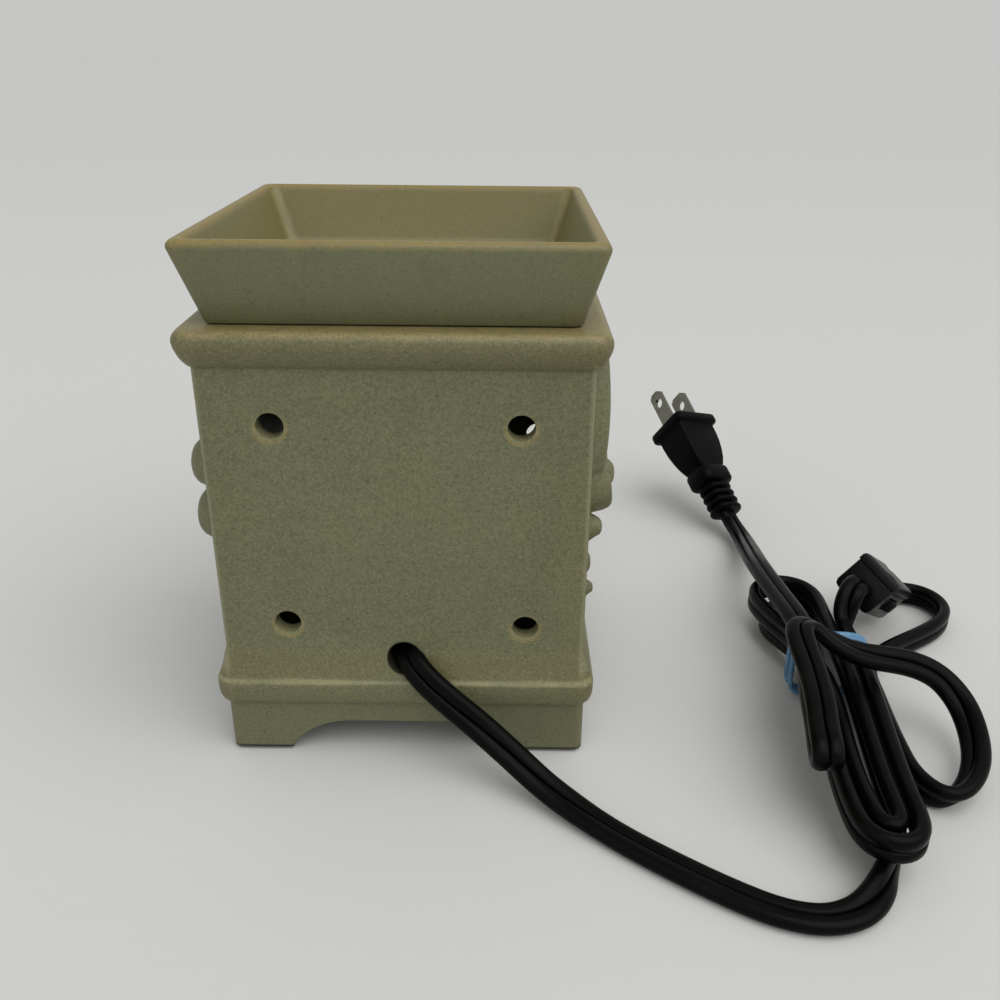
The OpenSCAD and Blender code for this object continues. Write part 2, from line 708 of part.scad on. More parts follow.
module bulb_tip() {
    color(BLACK) translate([0, 0, cap_z - tip_h]) cylinder(h = tip_h, r1 = 2, r2 = 4.4);
}

stem_top = glass_z + bulb_l * 0.36;
filament_z = glass_z + bulb_l * 0.56;
filament_r = bulb_r * 0.5;
wire_r = 0.3;
module bulb_stem() {
    color([0.9, 0.92, 0.92]) translate([0, 0, glass_z + glass_t])
        cylinder(h = stem_top - glass_z - glass_t, r1 = 2.4, r2 = 1.4);
}

module bulb_filament() {
    color(STEEL) {
        for (a = [30, 150]) rotate([0, 0, a])
            translate([0.7, 0, stem_top - eps / 2]) rotate([0, atan2(filament_r - 0.7, filament_z - stem_top), 0])
                cylinder(h = norm([filament_r - 0.7, filament_z - stem_top]), r = wire_r, $fn = 16);
        translate([0, 0, filament_z]) rotate([0, 0, 30]) rotate_extrude(angle = 120)
            translate([filament_r, 0]) circle(wire_r * 1.6, $fn = 16);
    }
}

module cord_inner() {
    color(BLACK) translate([0, cord_start_y, cord_hole_z]) rotate([90, 0, 0])
        linear_extrude(cord_start_y - inner_end_y) slot_outline(cord_w, cord_t);
}

module cord_clamp() {
    clamp_w = cord_w + 2 * clamp_wall;
    clamp_top = cord_hole_z + cord_t / 2 + clamp_wall;
    foot_z = strap_z + strap_t;
    color(CREAM) difference() {
        union() {
            translate([-clamp_w / 2, clamp_y - clamp_l / 2, foot_z]) cube([clamp_w, clamp_l, clamp_top - foot_z]);
            translate([-clamp_w / 2, clamp_y - clamp_l / 2 - clamp_flange, foot_z])
                cube([clamp_w, clamp_flange + eps, 1.6]);
        }
        translate([0, clamp_y + clamp_l, cord_hole_z]) rotate([90, 0, 0])
            linear_extrude(2 * clamp_l) slot_outline(cord_w + 2 * cord_fit, cord_t + 2 * cord_fit);
        translate([0, clamp_y - clamp_l / 2 - clamp_flange / 2, foot_z - eps])
            cylinder(h = 4, d = clamp_screw_d + 2 * thread_gap);
    }
}

module clamp_screw() {
    foot_z = strap_z + strap_t;
    color(STEEL) translate([0, clamp_y - clamp_l / 2 - clamp_flange / 2, 0]) {
        translate([0, 0, strap_z]) cylinder(h = strap_t + 1.6, d = clamp_screw_d);
        translate([0, 0, foot_z + 1.6]) cylinder(h = 1.8, d = clamp_screw_d * 1.7);
    }
}

// Round section for the single wires
ROUND_8 = [for (a = [0:45:315]) wire_d / 2 * [cos(a), sin(a)]];
function wire_route(s) = [
    [[s * cord_w / 4, inner_end_y, cord_hole_z], UP],
    [[s * cord_w / 4, inner_end_y - 2, cord_hole_z], UP],
    [[s * lerp(cord_w / 4, terminal_x, 0.5), lerp(inner_end_y, holder_d / 2, 0.5), terminal_z], UP],
    [[s * terminal_x, holder_d / 2 + 3, terminal_z], UP],
    [[s * terminal_x, holder_d / 2 + 1.2, terminal_z], UP]
];

module lead_wires() {
    color(BLACK) for (s = [-1, 1]) flat_cord(wire_route(s), ROUND_8);
}

module cord_lead() {
    color(BLACK) flat_cord(lead_full, FLAT_8);
}

module cord_hank() {
    color(BLACK) flat_cord(hank_route, FLAT_6);
}

module cord_tie() {
    inner_w = 2 * hank_waist_half + cord_t + 2 * tie_gap;
    inner_h = layer_z[1] - layer_z[0] + cord_w + 2 * tie_gap;
    corner_r = 2;
    color(BLUE) translate([hank_waist_x, hank_near_y - hank_waist, (layer_z[0] + layer_z[1]) / 2 + hank_lift])
        rotate([90, 0, 0]) linear_extrude(tie_w, center = true) difference() {
            round_outline(inner_w + 2 * tie_t, inner_h + 2 * tie_t, corner_r + tie_t);
            round_outline(inner_w, inner_h, corner_r);
        }
}

module cord_feed() {
    color(BLACK) flat_cord(feed_full, FLAT_8);
}

module cord_return() {
    color(BLACK) flat_cord(return_full, FLAT_8);
}

module at_switch() {
    translate(switch_at) rotate(switch_turn) translate([switch_l / 2, 0, 0]) children();
}

// Block with chamfered long edges
module chamfered_bar(length, width, z0, z1, c_low, c_high) {
    low = c_low > 0 ? [[width / 2 - c_low, z0], [width / 2, z0 + c_low]] : [[width / 2, z0]];
    high = c_high > 0 ? [[width / 2, z1 - c_high], [width / 2 - c_high, z1]] : [[width / 2, z1]];
    rotate([90, 0, 90]) linear_extrude(length, center = true) polygon(both_sides(concat(low, high)));
}

switch_low = -switch_h / 2;
cover_z = switch_low + base_h;
wheel_z = (switch_low + cover_z) / 2 + 1;
screw_x = switch_l / 2 - 2.4;
screw_y = switch_w / 2 - 3.6;
screw_d = 2;
screw_head_d = 3.2;
contact_x = wheel_r + wheel_gap + 2;

// Two screws at opposite corners
module at_screws() {
    for (s = [-1, 1]) translate([s * screw_x, s * screw_y, 0]) children();
}

module switch_base() {
    color(BLACK) at_switch() difference() {
        chamfered_bar(switch_l, switch_w, switch_low, cover_z, 2, 0);
        translate([0, 0, wheel_z - wheel_t / 2 - wheel_gap])
            cylinder(h = switch_h, r = wheel_r + wheel_gap);
        translate([0, 0, switch_low + 1.5]) cylinder(h = switch_h, d = pin_d);
        at_screws() translate([0, 0, switch_low + 3]) cylinder(h = switch_h, d = screw_d + 2 * thread_gap);
        for (s = [-1, 1]) translate([s * (contact_x - 2), 0, wheel_z]) cube([5, 4, 2.4], center = true);
    }
}

module switch_cover() {
    color(BLACK) at_switch() difference() {
        chamfered_bar(switch_l, switch_w, cover_z, switch_h / 2, 0, 1.4);
        translate([0, 0, cover_z - eps]) cylinder(h = 1.2 + eps, d = pin_d);
        at_screws() translate([0, 0, cover_z - eps]) cylinder(h = switch_h, d = screw_d + 2 * thread_gap);
        at_screws() translate([0, 0, switch_h / 2 - 1.4]) cylinder(h = switch_h, d = screw_head_d + 4 * thread_gap);
    }
}

module switch_wheel() {
    knurls = 24;
    color(BLACK) at_switch() difference() {
        translate([0, 0, wheel_z]) cylinder(h = wheel_t, r = wheel_r, center = true);
        translate([0, 0, wheel_z]) cylinder(h = wheel_t + 2 * eps, d = pin_d + 2 * pin_gap, center = true);
        for (i = [0:knurls - 1]) rotate(i * 360 / knurls) translate([wheel_r + 0.3, 0, wheel_z])
            cylinder(h = wheel_t + 2 * eps, r = 0.8, center = true, $fn = 16);
    }
}

module switch_pin() {
    color(STEEL) at_switch() translate([0, 0, switch_low + 1.5])
        cylinder(h = base_h - 1.5 + 1.2, d = pin_d);
}

module switch_contacts() {
    color(BRASS) at_switch() for (s = [-1, 1]) translate([s * contact_x, 0, wheel_z])
        cube([1, 3.6, 2.4], center = true);
}

module switch_screws() {
    color(STEEL) at_switch() at_screws() {
        translate([0, 0, switch_low + 3]) cylinder(h = switch_h - 3 - 1.4, d = screw_d);
        translate([0, 0, switch_h / 2 - 1.4]) cylinder(h = 1, d = screw_head_d);
    }
}

module at_plug() {
    translate(plug_at) rotate(plug_turn) children();
}

// Solid along the plug's axis from a half-width outline and a half-height outline
module tapered_grip(wide, high) {
    intersection() {
        linear_extrude(span, center = true) polygon(wide);
        rotate([90, 0, 0]) linear_extrude(span, center = true) polygon(high);
    }
}

// Outline along x from rows of place and half size
function along_outline(rows) =
    concat([for (r = rows) [r.x, -r.y]], [for (i = [len(rows) - 1:-1:0]) [rows[i].x, rows[i].y]]);

grip_x = ribs_l + collar_l;
flange_x = grip_x + grip_l;
rib_pitch = ribs_l / rib_count;
blade_root = 9;
blade_fit = 0.05;

module blade_place(side) {
    at_plug() translate([plug_l, side * blade_spacing / 2, 0]) children();
}

module plug_body() {
    color(BLACK) difference() {
        at_plug() {
            tapered_grip(
                along_outline([[grip_x - eps, 6.4], [grip_x + grip_l * 0.35, 8.6], [grip_x + grip_l * 0.75, 9.6],
                               [flange_x + eps, 9.6]]),
                along_outline([[grip_x - eps, 5], [grip_x + grip_l * 0.5, 6.8], [flange_x + eps, 7]])
            );
            translate([flange_x + flange_t / 2, 0, 0]) rotate([90, 0, 90])
                linear_extrude(flange_t, center = true) round_outline(flange_w, flange_h, 2.5);
            translate([ribs_l - eps, 0, 0]) rotate([90, 0, 90])
                linear_extrude(collar_l + eps) round_outline(16, 12.6, 4);
            rotate([90, 0, 90]) linear_extrude(ribs_l) slot_outline(cord_w + 1.8, cord_t + 3);
            for (i = [0:rib_count - 1]) translate([i * rib_pitch, 0, 0]) rotate([90, 0, 90])
                linear_extrude(rib_pitch * 0.6) slot_outline(13.4, 11);
        }
        blade_place(1) translate([-blade_root / 2, 0, 0])
            cube([blade_root + blade_fit, blade_t + 2 * blade_fit, blade_hot_w + 2 * blade_fit], center = true);
        blade_place(-1) translate([-blade_root / 2, 0, 0])
            cube([blade_root + blade_fit, blade_t + 2 * blade_fit, blade_neutral_w + 2 * blade_fit], center = true);
    }
}

// Flat blade with a chamfered tip and a hole
module blade(width) {
    hole_x = 11.7;
    rotate([90, 0, 0]) linear_extrude(blade_t, center = true) difference() {
        polygon(along_outline([[-blade_root, width / 2], [blade_l - 1.4, width / 2], [blade_l, width / 2 - 1.6]]));
        translate([hole_x, 0]) circle(d = blade_hole_d);
    }
}

module plug_blade_hot() {
    color(STEEL) blade_place(1) blade(blade_hot_w);
}

module plug_blade_neutral() {
    color(STEEL) blade_place(-1) blade(blade_neutral_w);
}

body();
dish();
foot_pads();
base_plate();
clamp_strap();
lamp_nipple();
nut_washer();
nipple_nut();
lamp_holder();
holder_shell();
holder_contact();
terminal_screws();
bulb_glass();
bulb_cap();
bulb_tip();
bulb_stem();
bulb_filament();
cord_inner();
cord_clamp();
clamp_screw();
lead_wires();
cord_lead();
cord_hank();
cord_tie();
cord_feed();
switch_base();
switch_cover();
switch_wheel();
switch_pin();
switch_contacts();
switch_screws();
cord_return();
plug_body();
plug_blade_hot();
plug_blade_neutral();
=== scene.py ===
"""Looks of the wax warmer: glazed housing and dish, heating bulb in its holder, and the tied flat cord."""

import logging
import math
from dataclasses import dataclass, field
from enum import Enum
from typing import Iterator, Optional, Protocol, Sequence, Union

import bmesh
import bpy
from mathutils import Euler, Matrix, Vector


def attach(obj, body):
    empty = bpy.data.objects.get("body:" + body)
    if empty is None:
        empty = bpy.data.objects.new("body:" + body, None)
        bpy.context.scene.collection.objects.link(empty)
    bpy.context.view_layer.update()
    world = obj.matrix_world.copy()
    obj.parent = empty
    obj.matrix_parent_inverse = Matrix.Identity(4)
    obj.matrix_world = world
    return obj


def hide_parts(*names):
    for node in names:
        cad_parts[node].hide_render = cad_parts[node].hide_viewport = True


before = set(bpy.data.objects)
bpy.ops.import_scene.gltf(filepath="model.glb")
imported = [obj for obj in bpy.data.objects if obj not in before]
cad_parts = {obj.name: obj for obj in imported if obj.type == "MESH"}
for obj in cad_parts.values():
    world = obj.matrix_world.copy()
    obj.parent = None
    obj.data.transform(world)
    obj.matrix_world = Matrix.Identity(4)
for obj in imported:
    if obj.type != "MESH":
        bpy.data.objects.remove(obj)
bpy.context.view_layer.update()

MM = 0.001
UP = (0.0, 0.0, 1.0)
ALONG = (1.0, 0.0, 0.0)
ASIDE = (0.0, 1.0, 0.0)
LOG = logging.getLogger("wax_warmer")

Colour = tuple[float, float, float]
Point = tuple[float, float, float]
Flat = tuple[float, float]
Row = tuple[Vector, Vector]
Route = tuple[tuple[Point, Point], ...]


def paint(red: int, green: int, blue: int) -> Colour:
    """Turns a colour as a screen shows it into the linear colour that a shader takes.

    Args:
        red: Red from 0 to 255.
        green: Green from 0 to 255.
        blue: Blue from 0 to 255.

    Returns:
        The linear colour.
    """
    def linear(value: float) -> float:
        """Undoes the screen curve of one channel."""
        return value / 12.92 if value <= 0.04045 else ((value + 0.055) / 1.055) ** 2.4

    return linear(red / 255), linear(green / 255), linear(blue / 255)


def lerp(a: float, b: float, t: float) -> float:
    """Goes from a to b as t goes from 0 to 1."""
    return a + (b - a) * t


def smooth_step(low: float, high: float, value: float) -> float:
    """Rises smoothly from 0 at low to 1 at high."""
    t = max(0.0, min(1.0, (value - low) / (high - low)))
    return t * t * (3 - 2 * t)


def arc(centre: Flat, radius: Flat, start: float, end: float, steps: int) -> list[Flat]:
    """Points on an arc of an ellipse between two angles in degrees, both ends included."""
    angles = [math.radians(lerp(start, end, i / steps)) for i in range(steps + 1)]
    return [(centre[0] + radius[0] * math.cos(a), centre[1] + radius[1] * math.sin(a)) for a in angles]


def oval(radius: Flat, count: int) -> list[Flat]:
    """A closed section: points round a whole ellipse."""
    return arc((0.0, 0.0), radius, 0, 360 - 360 / count, count - 1)


def about_z(degrees: float) -> Matrix:
    """A turn about the Z axis."""
    return Matrix.Rotation(math.radians(degrees), 4, "Z")


class Body(Enum):
    """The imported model's moving bodies."""

    HOUSING = "housing"
    DISH = "dish"
    BULB = "bulb"
    WHEEL = "wheel"


class Slot(Enum):
    """The record's material slots."""

    GLAZE = "glaze"
    PAD = "pad"
    STEEL = "steel"
    BRASS = "brass"
    PORCELAIN = "porcelain"
    BULB_GLASS = "bulb_glass"
    CAP = "cap"
    TIP = "tip"
    FILAMENT = "filament"
    CORD = "cord"
    TIE = "tie"
    BLACK_PLASTIC = "black_plastic"


Value = Union["Shade", float]


class Shade:
    """A shader socket that takes part in Python sums."""

    def __init__(self, bench: "Bench", socket: bpy.types.NodeSocket) -> None:
        """Keeps the socket and the bench that adds nodes behind it."""
        self.bench = bench
        self.socket = socket

    def _math(self, operation: str, first: Value, second: Value = 0.0) -> "Shade":
        """Adds one Math node."""
        return self.bench.node("ShaderNodeMath", {"operation": operation}, {0: first, 1: second})

    def __add__(self, other: Value) -> "Shade":
        """Self plus other."""
        return self._math("ADD", self, other)

    __radd__ = __add__

    def __sub__(self, other: Value) -> "Shade":
        """Self minus other."""
        return self._math("SUBTRACT", self, other)

    def __rsub__(self, other: Value) -> "Shade":
        """Other minus self."""
        return self._math("SUBTRACT", other, self)

    def __mul__(self, other: Value) -> "Shade":
        """Self times other."""
        return self._math("MULTIPLY", self, other)

    __rmul__ = __mul__

    def __abs__(self) -> "Shade":
        """The value without its sign."""
        return self._math("ABSOLUTE", self)

    def __pow__(self, other: Value) -> "Shade":
        """Self to the power of other."""
        return self._math("POWER", self, other)

    def __rpow__(self, other: Value) -> "Shade":
        """Other to the power of self."""
        return self._math("POWER", other, self)

    def least(self, other: Value) -> "Shade":
        """The smaller of two values."""
        return self._math("MINIMUM", self, other)

    def most(self, other: Value) -> "Shade":
        """The larger of two values."""
        return self._math("MAXIMUM", self, other)

    def step(self, low: float, high: float) -> "Shade":
        """A smooth step from 0 at low to 1 at high, which may be below low."""
        ends = {1: low, 2: high, 3: 0.0, 4: 1.0} if low <= high else {1: high, 2: low, 3: 1.0, 4: 0.0}
        return self.bench.node("ShaderNodeMapRange", {"interpolation_type": "SMOOTHSTEP"}, {0: self, **ends})


class Bench:
    """Builds one material's nodes."""

    def __init__(self, name: str) -> None:
        """Starts a material with its Principled shader.

        Args:
            name: The material's name.
        """
        self.material = bpy.data.materials.new(name)
        self.material.use_nodes = True
        self.tree = self.material.node_tree
        self.shader = self.tree.nodes["Principled BSDF"]
        self.place = Shade(self, self.tree.nodes.new("ShaderNodeTexCoord").outputs["Object"])

    def feed(self, socket: bpy.types.NodeSocket, value: object) -> None:
        """Links a value to a socket, or sets the socket to it.

        Args:
            socket: The input socket.
            value: A Shade, a number, a colour or a vector.
        """
        if isinstance(value, Shade):
            self.tree.links.new(value.socket, socket)
        elif isinstance(value, tuple) and socket.type == "RGBA":
            socket.default_value = (*value, 1.0)
        else:
            socket.default_value = value

    def node(self, kind: str, settings: dict[str, object], sockets: dict[Union[int, str], object],
             output: Union[int, str] = 0) -> Shade:
        """Adds any node.

        Args:
            kind: The node's type.
            settings: Its properties, which are set first.
            sockets: Its inputs by name or number.
            output: The output to give back.

        Returns:
            That output.
        """
        made = self.tree.nodes.new(kind)
        for name, value in settings.items():
            setattr(made, name, value)
        for key, value in sockets.items():
            self.feed(made.inputs[key], value)
        return Shade(self, made.outputs[output])

    def noise(self, scale: float, detail: float = 2.0, roughness: float = 0.5,
              stretch: Optional[Point] = None) -> Shade:
        """Noise on the piece's own place.

        Args:
            scale: Features to the metre.
            detail: Octaves.
            roughness: Strength of the finer octaves.
            stretch: Scale along each axis, for a pattern with a direction.

        Returns:
            The noise, about 0.5.
        """
        where = self.place
        if stretch is not None:
            where = self.node("ShaderNodeMapping", {}, {"Vector": self.place, "Scale": stretch})
        sockets = {"Vector": where, "Scale": scale, "Detail": detail, "Roughness": roughness}
        return self.node("ShaderNodeTexNoise", {}, sockets)

    def cells(self, scale: float) -> tuple[Shade, Shade]:
        """Cells on the piece's own place.

        Args:
            scale: Cells to the metre.

        Returns:
            The distance from a cell's point, and a random value for the cell.
        """
        made = self.tree.nodes.new("ShaderNodeTexVoronoi")
        self.feed(made.inputs["Vector"], self.place)
        self.feed(made.inputs["Scale"], scale)
        chance = self.node("ShaderNodeSeparateColor", {}, {0: Shade(self, made.outputs["Color"])})
        return Shade(self, made.outputs["Distance"]), chance

    def axes(self) -> tuple[Shade, Shade, Shade]:
        """The piece's own place in millimetres.

        Returns:
            One value for each axis.
        """
        split = self.tree.nodes.new("ShaderNodeSeparateXYZ")
        self.feed(split.inputs[0], self.place)
        x, y, z = (Shade(self, out) * (1 / MM) for out in split.outputs)
        return x, y, z

    def mix(self, share: Value, first: object, second: object) -> Shade:
        """Mixes two colours: a share of 0 is the first, 1 the second."""
        return self.node("ShaderNodeMix", {"data_type": "RGBA"}, {0: share, 6: first, 7: second}, 2)

    def bump(self, height: Shade, depth: float, strength: float = 1.0) -> None:
        """Feeds the shader's normal from a height, where 1 stands for a depth in metres."""
        normal = self.node("ShaderNodeBump", {}, {"Strength": strength, "Distance": depth, "Height": height})
        self.set(Normal=normal)

    def set(self, **inputs: object) -> None:
        """Feeds the shader's inputs, named with underscores for spaces."""
        for name, value in inputs.items():
            self.feed(self.shader.inputs[name.replace("_", " ")], value)


class Finish(Protocol):
    """What every finish has: a name, and a way to build its material."""

    @property
    def name(self) -> str:
        """The material's name."""

    def make(self) -> bpy.types.Material:
        """Builds the material."""


@dataclass(frozen=True)
class Glaze:
    """Speckled olive glaze that breaks to tan where it thins over an edge.

    Bands, stains and ridge lines each hold a height, a reach and a share; a ridge line is partly glaze
    thinned over the ridge and partly a painted highlight. Holes and the shaded hole hold a place across the
    back, a height and a radius, and the shaded hole's inner wall gets painted shade. All lengths are in
    millimetres.
    """

    name: str
    olive: Colour = paint(101, 102, 74)
    moss: Colour = paint(105, 105, 73)
    warm: Colour = paint(101, 97, 62)
    haze: Colour = paint(97, 97, 71)
    tan: Colour = paint(144, 124, 70)
    cream: Colour = paint(168, 162, 122)
    brown: Colour = paint(98, 91, 53)
    rust: Colour = paint(114, 92, 56)
    pit: Colour = paint(58, 54, 38)
    # Near black: the unglazed foot rim, and painted shade.
    bare_and_shade: Colour = paint(9, 9, 8)
    # Pale colour of the painted highlight along the panels' corners.
    edge: Colour = paint(146, 146, 116)
    nook: Colour = paint(96, 80, 46)
    flecks: tuple[Colour, Colour] = (paint(116, 116, 88), paint(84, 82, 56))
    grains: tuple[Colour, Colour] = (paint(132, 130, 98), paint(66, 65, 44))
    melt: Colour = paint(119, 111, 63)
    runs: Colour = paint(146, 138, 96)
    bands: tuple[Point, ...] = ()
    corner: Flat = (44.4, 45.6)
    corner_share: float = 0.4
    # Share of the painted corner highlight, and of the brown on the cornice's and base's corners.
    highlight_and_brown_share: float = 0.0
    panel: Flat = (24.0, 109.0)
    back: float = 46.0
    # Heights of the near-black foot band: partly the unglazed foot rim, partly painted contact shadow under
    # the foot.
    foot_line: Flat = (1.8, 1.35)
    speck: float = 1.0
    stains: tuple[Point, ...] = ()
    # Cream lines along a ridge: partly glaze thinned over the ridge, partly painted highlight.
    ridge_glaze_and_highlights: tuple[Point, ...] = ()
    holes: tuple[Point, ...] = ()
    # The hole whose inner wall gets painted shade.
    shaded_hole: Optional[Point] = None
    warm_inside: Optional[Point] = None

    @staticmethod
    def apart(x: Shade, z: Shade, hole: Point, drop: float = 0.0) -> Shade:
        """Distance from a hole's axis, or from a line that lies lower by a drop."""
        return ((x - hole[0]) ** 2.0 + (z - hole[1] + drop) ** 2.0) ** 0.5

    def worn(self, bench: Bench, axes: tuple[Shade, Shade, Shade]) -> Shade:
        """Where the glaze has thinned, with a painted highlight added on the vents' lower lips.

        Args:
            bench: The material's bench.
            axes: The place in millimetres.

        Returns:
            The mask of wear, from 0 to 1.
        """
        x, y, z = axes
        ragged = bench.noise(120.0, 4.0, 0.65) - 0.5
        wear = (abs(x).least(abs(y)) + ragged * 1.6).step(*self.corner) * self.corner_share
        for middle, reach, share in self.bands:
            wear = wear.most((abs(z - middle) + ragged * 2.4).step(reach, reach * 0.15) * share)
        for hole in self.holes:
            ring = abs(self.apart(x, z, hole, 0.3) - hole[2] - 0.45) + ragged * 0.5
            rim = ring.step(0.8, 0.15) * y.step(self.back - 1.4, self.back - 0.6)
            # The rim's tan is glaze wear; its extra strength on the lower side is a painted highlight on the
            # up-facing lip.
            low = (hole[1] + 1.0 - z).step(-1.0, 2.0)
            wear = wear.most(rim * (0.15 + low * 0.42))
        return wear

    def inside(self, bench: Bench, colour: Shade, axes: tuple[Shade, Shade, Shade], drift: Shade) -> Shade:
        """Warms the inside of a dish, and leaves pale runs in its corners.

        Args:
            bench: The material's bench.
            colour: The colour so far.
            axes: The place in millimetres.
            drift: Noise that breaks up the runs.

        Returns:
            The colour with the inside's tint.
        """
        x, y, z = axes
        base, lean, foot = self.warm_inside
        wall = base + lean * (z - foot)
        within = (wall - abs(x).most(abs(y))).step(1.6, 3.0) * z.step(118.0, 119.0)
        colour = bench.mix(within * 0.75, colour, self.melt)
        streak = (wall - abs(x).least(abs(y))).step(6.4, 4.6) * within * (0.5 + drift.step(0.4, 0.6) * 0.5)
        return bench.mix(streak * 0.5, colour, self.runs)

    def edges(self, bench: Bench, colour: Shade, axes: tuple[Shade, Shade, Shade], cloud: Shade) -> Shade:
        """Paints highlights on panel corners and light on the vents' low walls; browns cornice and base
        corners.

        Args:
            bench: The material's bench.
            colour: The colour so far.
            axes: The place in millimetres.
            cloud: Noise that breaks up the brown.

        Returns:
            The colour with its edges.
        """
        x, y, z = axes
        nearest = abs(x).least(abs(y))
        low, high = self.panel
        panels = z.step(low, low + 3.0) * z.step(high, high - 3.0)
        # Painted highlight: a pale line along the panels' rounded vertical corners.
        colour = bench.mix(nearest.step(*self.corner) * panels * self.highlight_and_brown_share, colour, self.edge)
        brown = nearest.step(self.back, self.back + 2.6) * cloud.step(0.36, 0.56)
        colour = bench.mix(brown * self.highlight_and_brown_share, colour, self.nook)
        # Painted light: the lower, up-facing part of each vent's inner wall is paled toward cream.
        for hole in self.holes:
            wall = self.apart(x, z, hole).step(hole[2] + 0.35, hole[2] + 0.05) * (hole[1] - z).step(0.0, 1.6)
            colour = bench.mix(wall * y.step(self.back - 8.0, self.back - 7.0) * 0.42, colour, self.cream)
        return colour

    def make(self) -> bpy.types.Material:
        """Builds the glaze.

        Returns:
            The material.
        """
        bench = Bench(self.name)
        axes = x, y, z = bench.axes()
        cloud = bench.noise(38.0, 5.0, 0.6)
        drift = bench.noise(90.0, 3.0, 0.55)
        grain = bench.noise(1900.0, 2.0, 0.6)
        fleck = bench.noise(760.0, 2.0, 0.55)
        spot, chance = bench.cells(420.0)
        colour = bench.mix(cloud.step(0.36, 0.64), self.olive, self.moss)
        colour = bench.mix(drift.step(0.5, 0.72) * 0.45, colour, self.haze)
        colour = bench.mix(fleck.step(0.5, 0.72) * (0.26 * self.speck), colour, self.flecks[0])
        colour = bench.mix(fleck.step(0.48, 0.3) * (0.3 * self.speck), colour, self.flecks[1])
        colour = bench.mix(abs(x).least(abs(y)).step(24.0, 46.0) * 0.4, colour, self.warm)
        if self.warm_inside is not None:
            colour = self.inside(bench, colour, axes, drift)
        for middle, reach, share in self.stains:
            stain = (abs(z - middle) + (drift - 0.5) * 3.0).step(reach, reach * 0.5)
            colour = bench.mix(stain * share, colour, self.brown)
        wear = self.worn(bench, axes)
        colour = bench.mix(wear * (0.55 + fleck.step(0.34, 0.6) * 0.45), colour, self.tan)
        colour = bench.mix(wear.step(0.5, 0.85) * 0.6, colour, self.cream)
        colour = self.edges(bench, colour, axes, cloud)
        # A cream line along each ridge: partly glaze thinned over it, partly painted highlight.
        for middle, reach, share in self.ridge_glaze_and_highlights:
            pale = (abs(z - middle) + (drift - 0.5) * 1.6).step(reach, reach * 0.1) * share
            colour = bench.mix(pale * (0.6 + cloud.step(0.4, 0.6) * 0.4), colour, self.cream)
        colour = bench.mix(wear * drift.step(0.56, 0.68) * 0.35, colour, self.rust)
        colour = bench.mix(grain.step(0.53, 0.68) * (0.45 * self.speck), colour, self.grains[0])
        colour = bench.mix(grain.step(0.47, 0.32) * (0.51 * self.speck), colour, self.grains[1])
        pits = spot.step(0.22, 0.1) * chance.step(0.95, 0.97)
        colour = bench.mix(pits * 0.5, colour, self.pit)
        # A near-black band along the foot's bottom edge: partly the unglazed foot rim, partly painted contact
        # shadow.
        colour = bench.mix(z.step(*self.foot_line) * 0.95, colour, self.bare_and_shade)
        # Painted shade: the cord hole's inner wall is painted near black, standing in for the shadow inside
        # the hole.
        if self.shaded_hole is not None:
            hole_shade = self.apart(x, z, self.shaded_hole).step(self.shaded_hole[2] + 0.5, self.shaded_hole[2] + 0.1)
            colour = bench.mix(hole_shade * y.step(self.back - 6.0, self.back - 5.0) * 0.85, colour, self.bare_and_shade)
        bench.set(Base_Color=colour, Roughness=0.5 + (fleck - 0.5) * 0.22 - wear * 0.08)
        bench.bump(grain * 0.5 + fleck * 0.5 - pits * 0.6, 0.00016 * self.speck, 0.55)
        return bench.material


@dataclass(frozen=True)
class Moulded:
    """Black moulded plastic or rubber with a fine spark-eroded skin."""

    name: str
    colour: Colour = paint(26, 26, 25)
    dusty: Colour = paint(52, 52, 50)
    roughness: float = 0.45
    skin: float = 2600.0
    depth: float = 0.00006
    sheen: float = 0.5

    def make(self) -> bpy.types.Material:
        """Builds the plastic.

        Returns:
            The material.
        """
        bench = Bench(self.name)
        dust = bench.noise(140.0, 5.0, 0.7)
        skin = bench.noise(self.skin, 2.0, 0.5)
        colour = bench.mix(dust.step(0.5, 0.78) * 0.35, self.colour, self.dusty)
        rough = self.roughness + (dust - 0.5) * 0.3
        bench.set(Base_Color=colour, Roughness=rough, Specular_IOR_Level=self.sheen)
        bench.bump(skin, self.depth, 0.5)
        return bench.material


@dataclass(frozen=True)
class Plated:
    """Bare or plated metal with fine drawn lines and a little tarnish."""

    name: str
    colour: Colour
    tarnish: Colour
    roughness: float = 0.3
    lines: Point = (1.0, 1.0, 12.0)

    def make(self) -> bpy.types.Material:
        """Builds the metal.

        Returns:
            The material.
        """
        bench = Bench(self.name)
        lines = bench.noise(900.0, 3.0, 0.6, self.lines)
        stain = bench.noise(160.0, 4.0, 0.6)
        colour = bench.mix(stain.step(0.48, 0.76) * 0.6, self.colour, self.tarnish)
        rough = self.roughness + (lines - 0.5) * 0.25 + stain.step(0.5, 0.8) * 0.15
        bench.set(Base_Color=colour, Metallic=1.0, Roughness=rough)
        bench.bump(lines, 0.00003, 0.4)
        return bench.material


@dataclass(frozen=True)
class Fired:
    """Unglazed white porcelain or cream insulator."""

    name: str
    colour: Colour = paint(226, 221, 205)
    shade: Colour = paint(198, 190, 168)

    def make(self) -> bpy.types.Material:
        """Builds the porcelain.

        Returns:
            The material.
        """
        bench = Bench(self.name)
        grain = bench.noise(1200.0, 3.0, 0.6)
        stain = bench.noise(110.0, 4.0, 0.6)
        colour = bench.mix(stain.step(0.42, 0.7), self.colour, self.shade)
        bench.set(Base_Color=colour, Roughness=0.42 + grain * 0.2)
        bench.bump(grain, 0.00005, 0.5)
        return bench.material


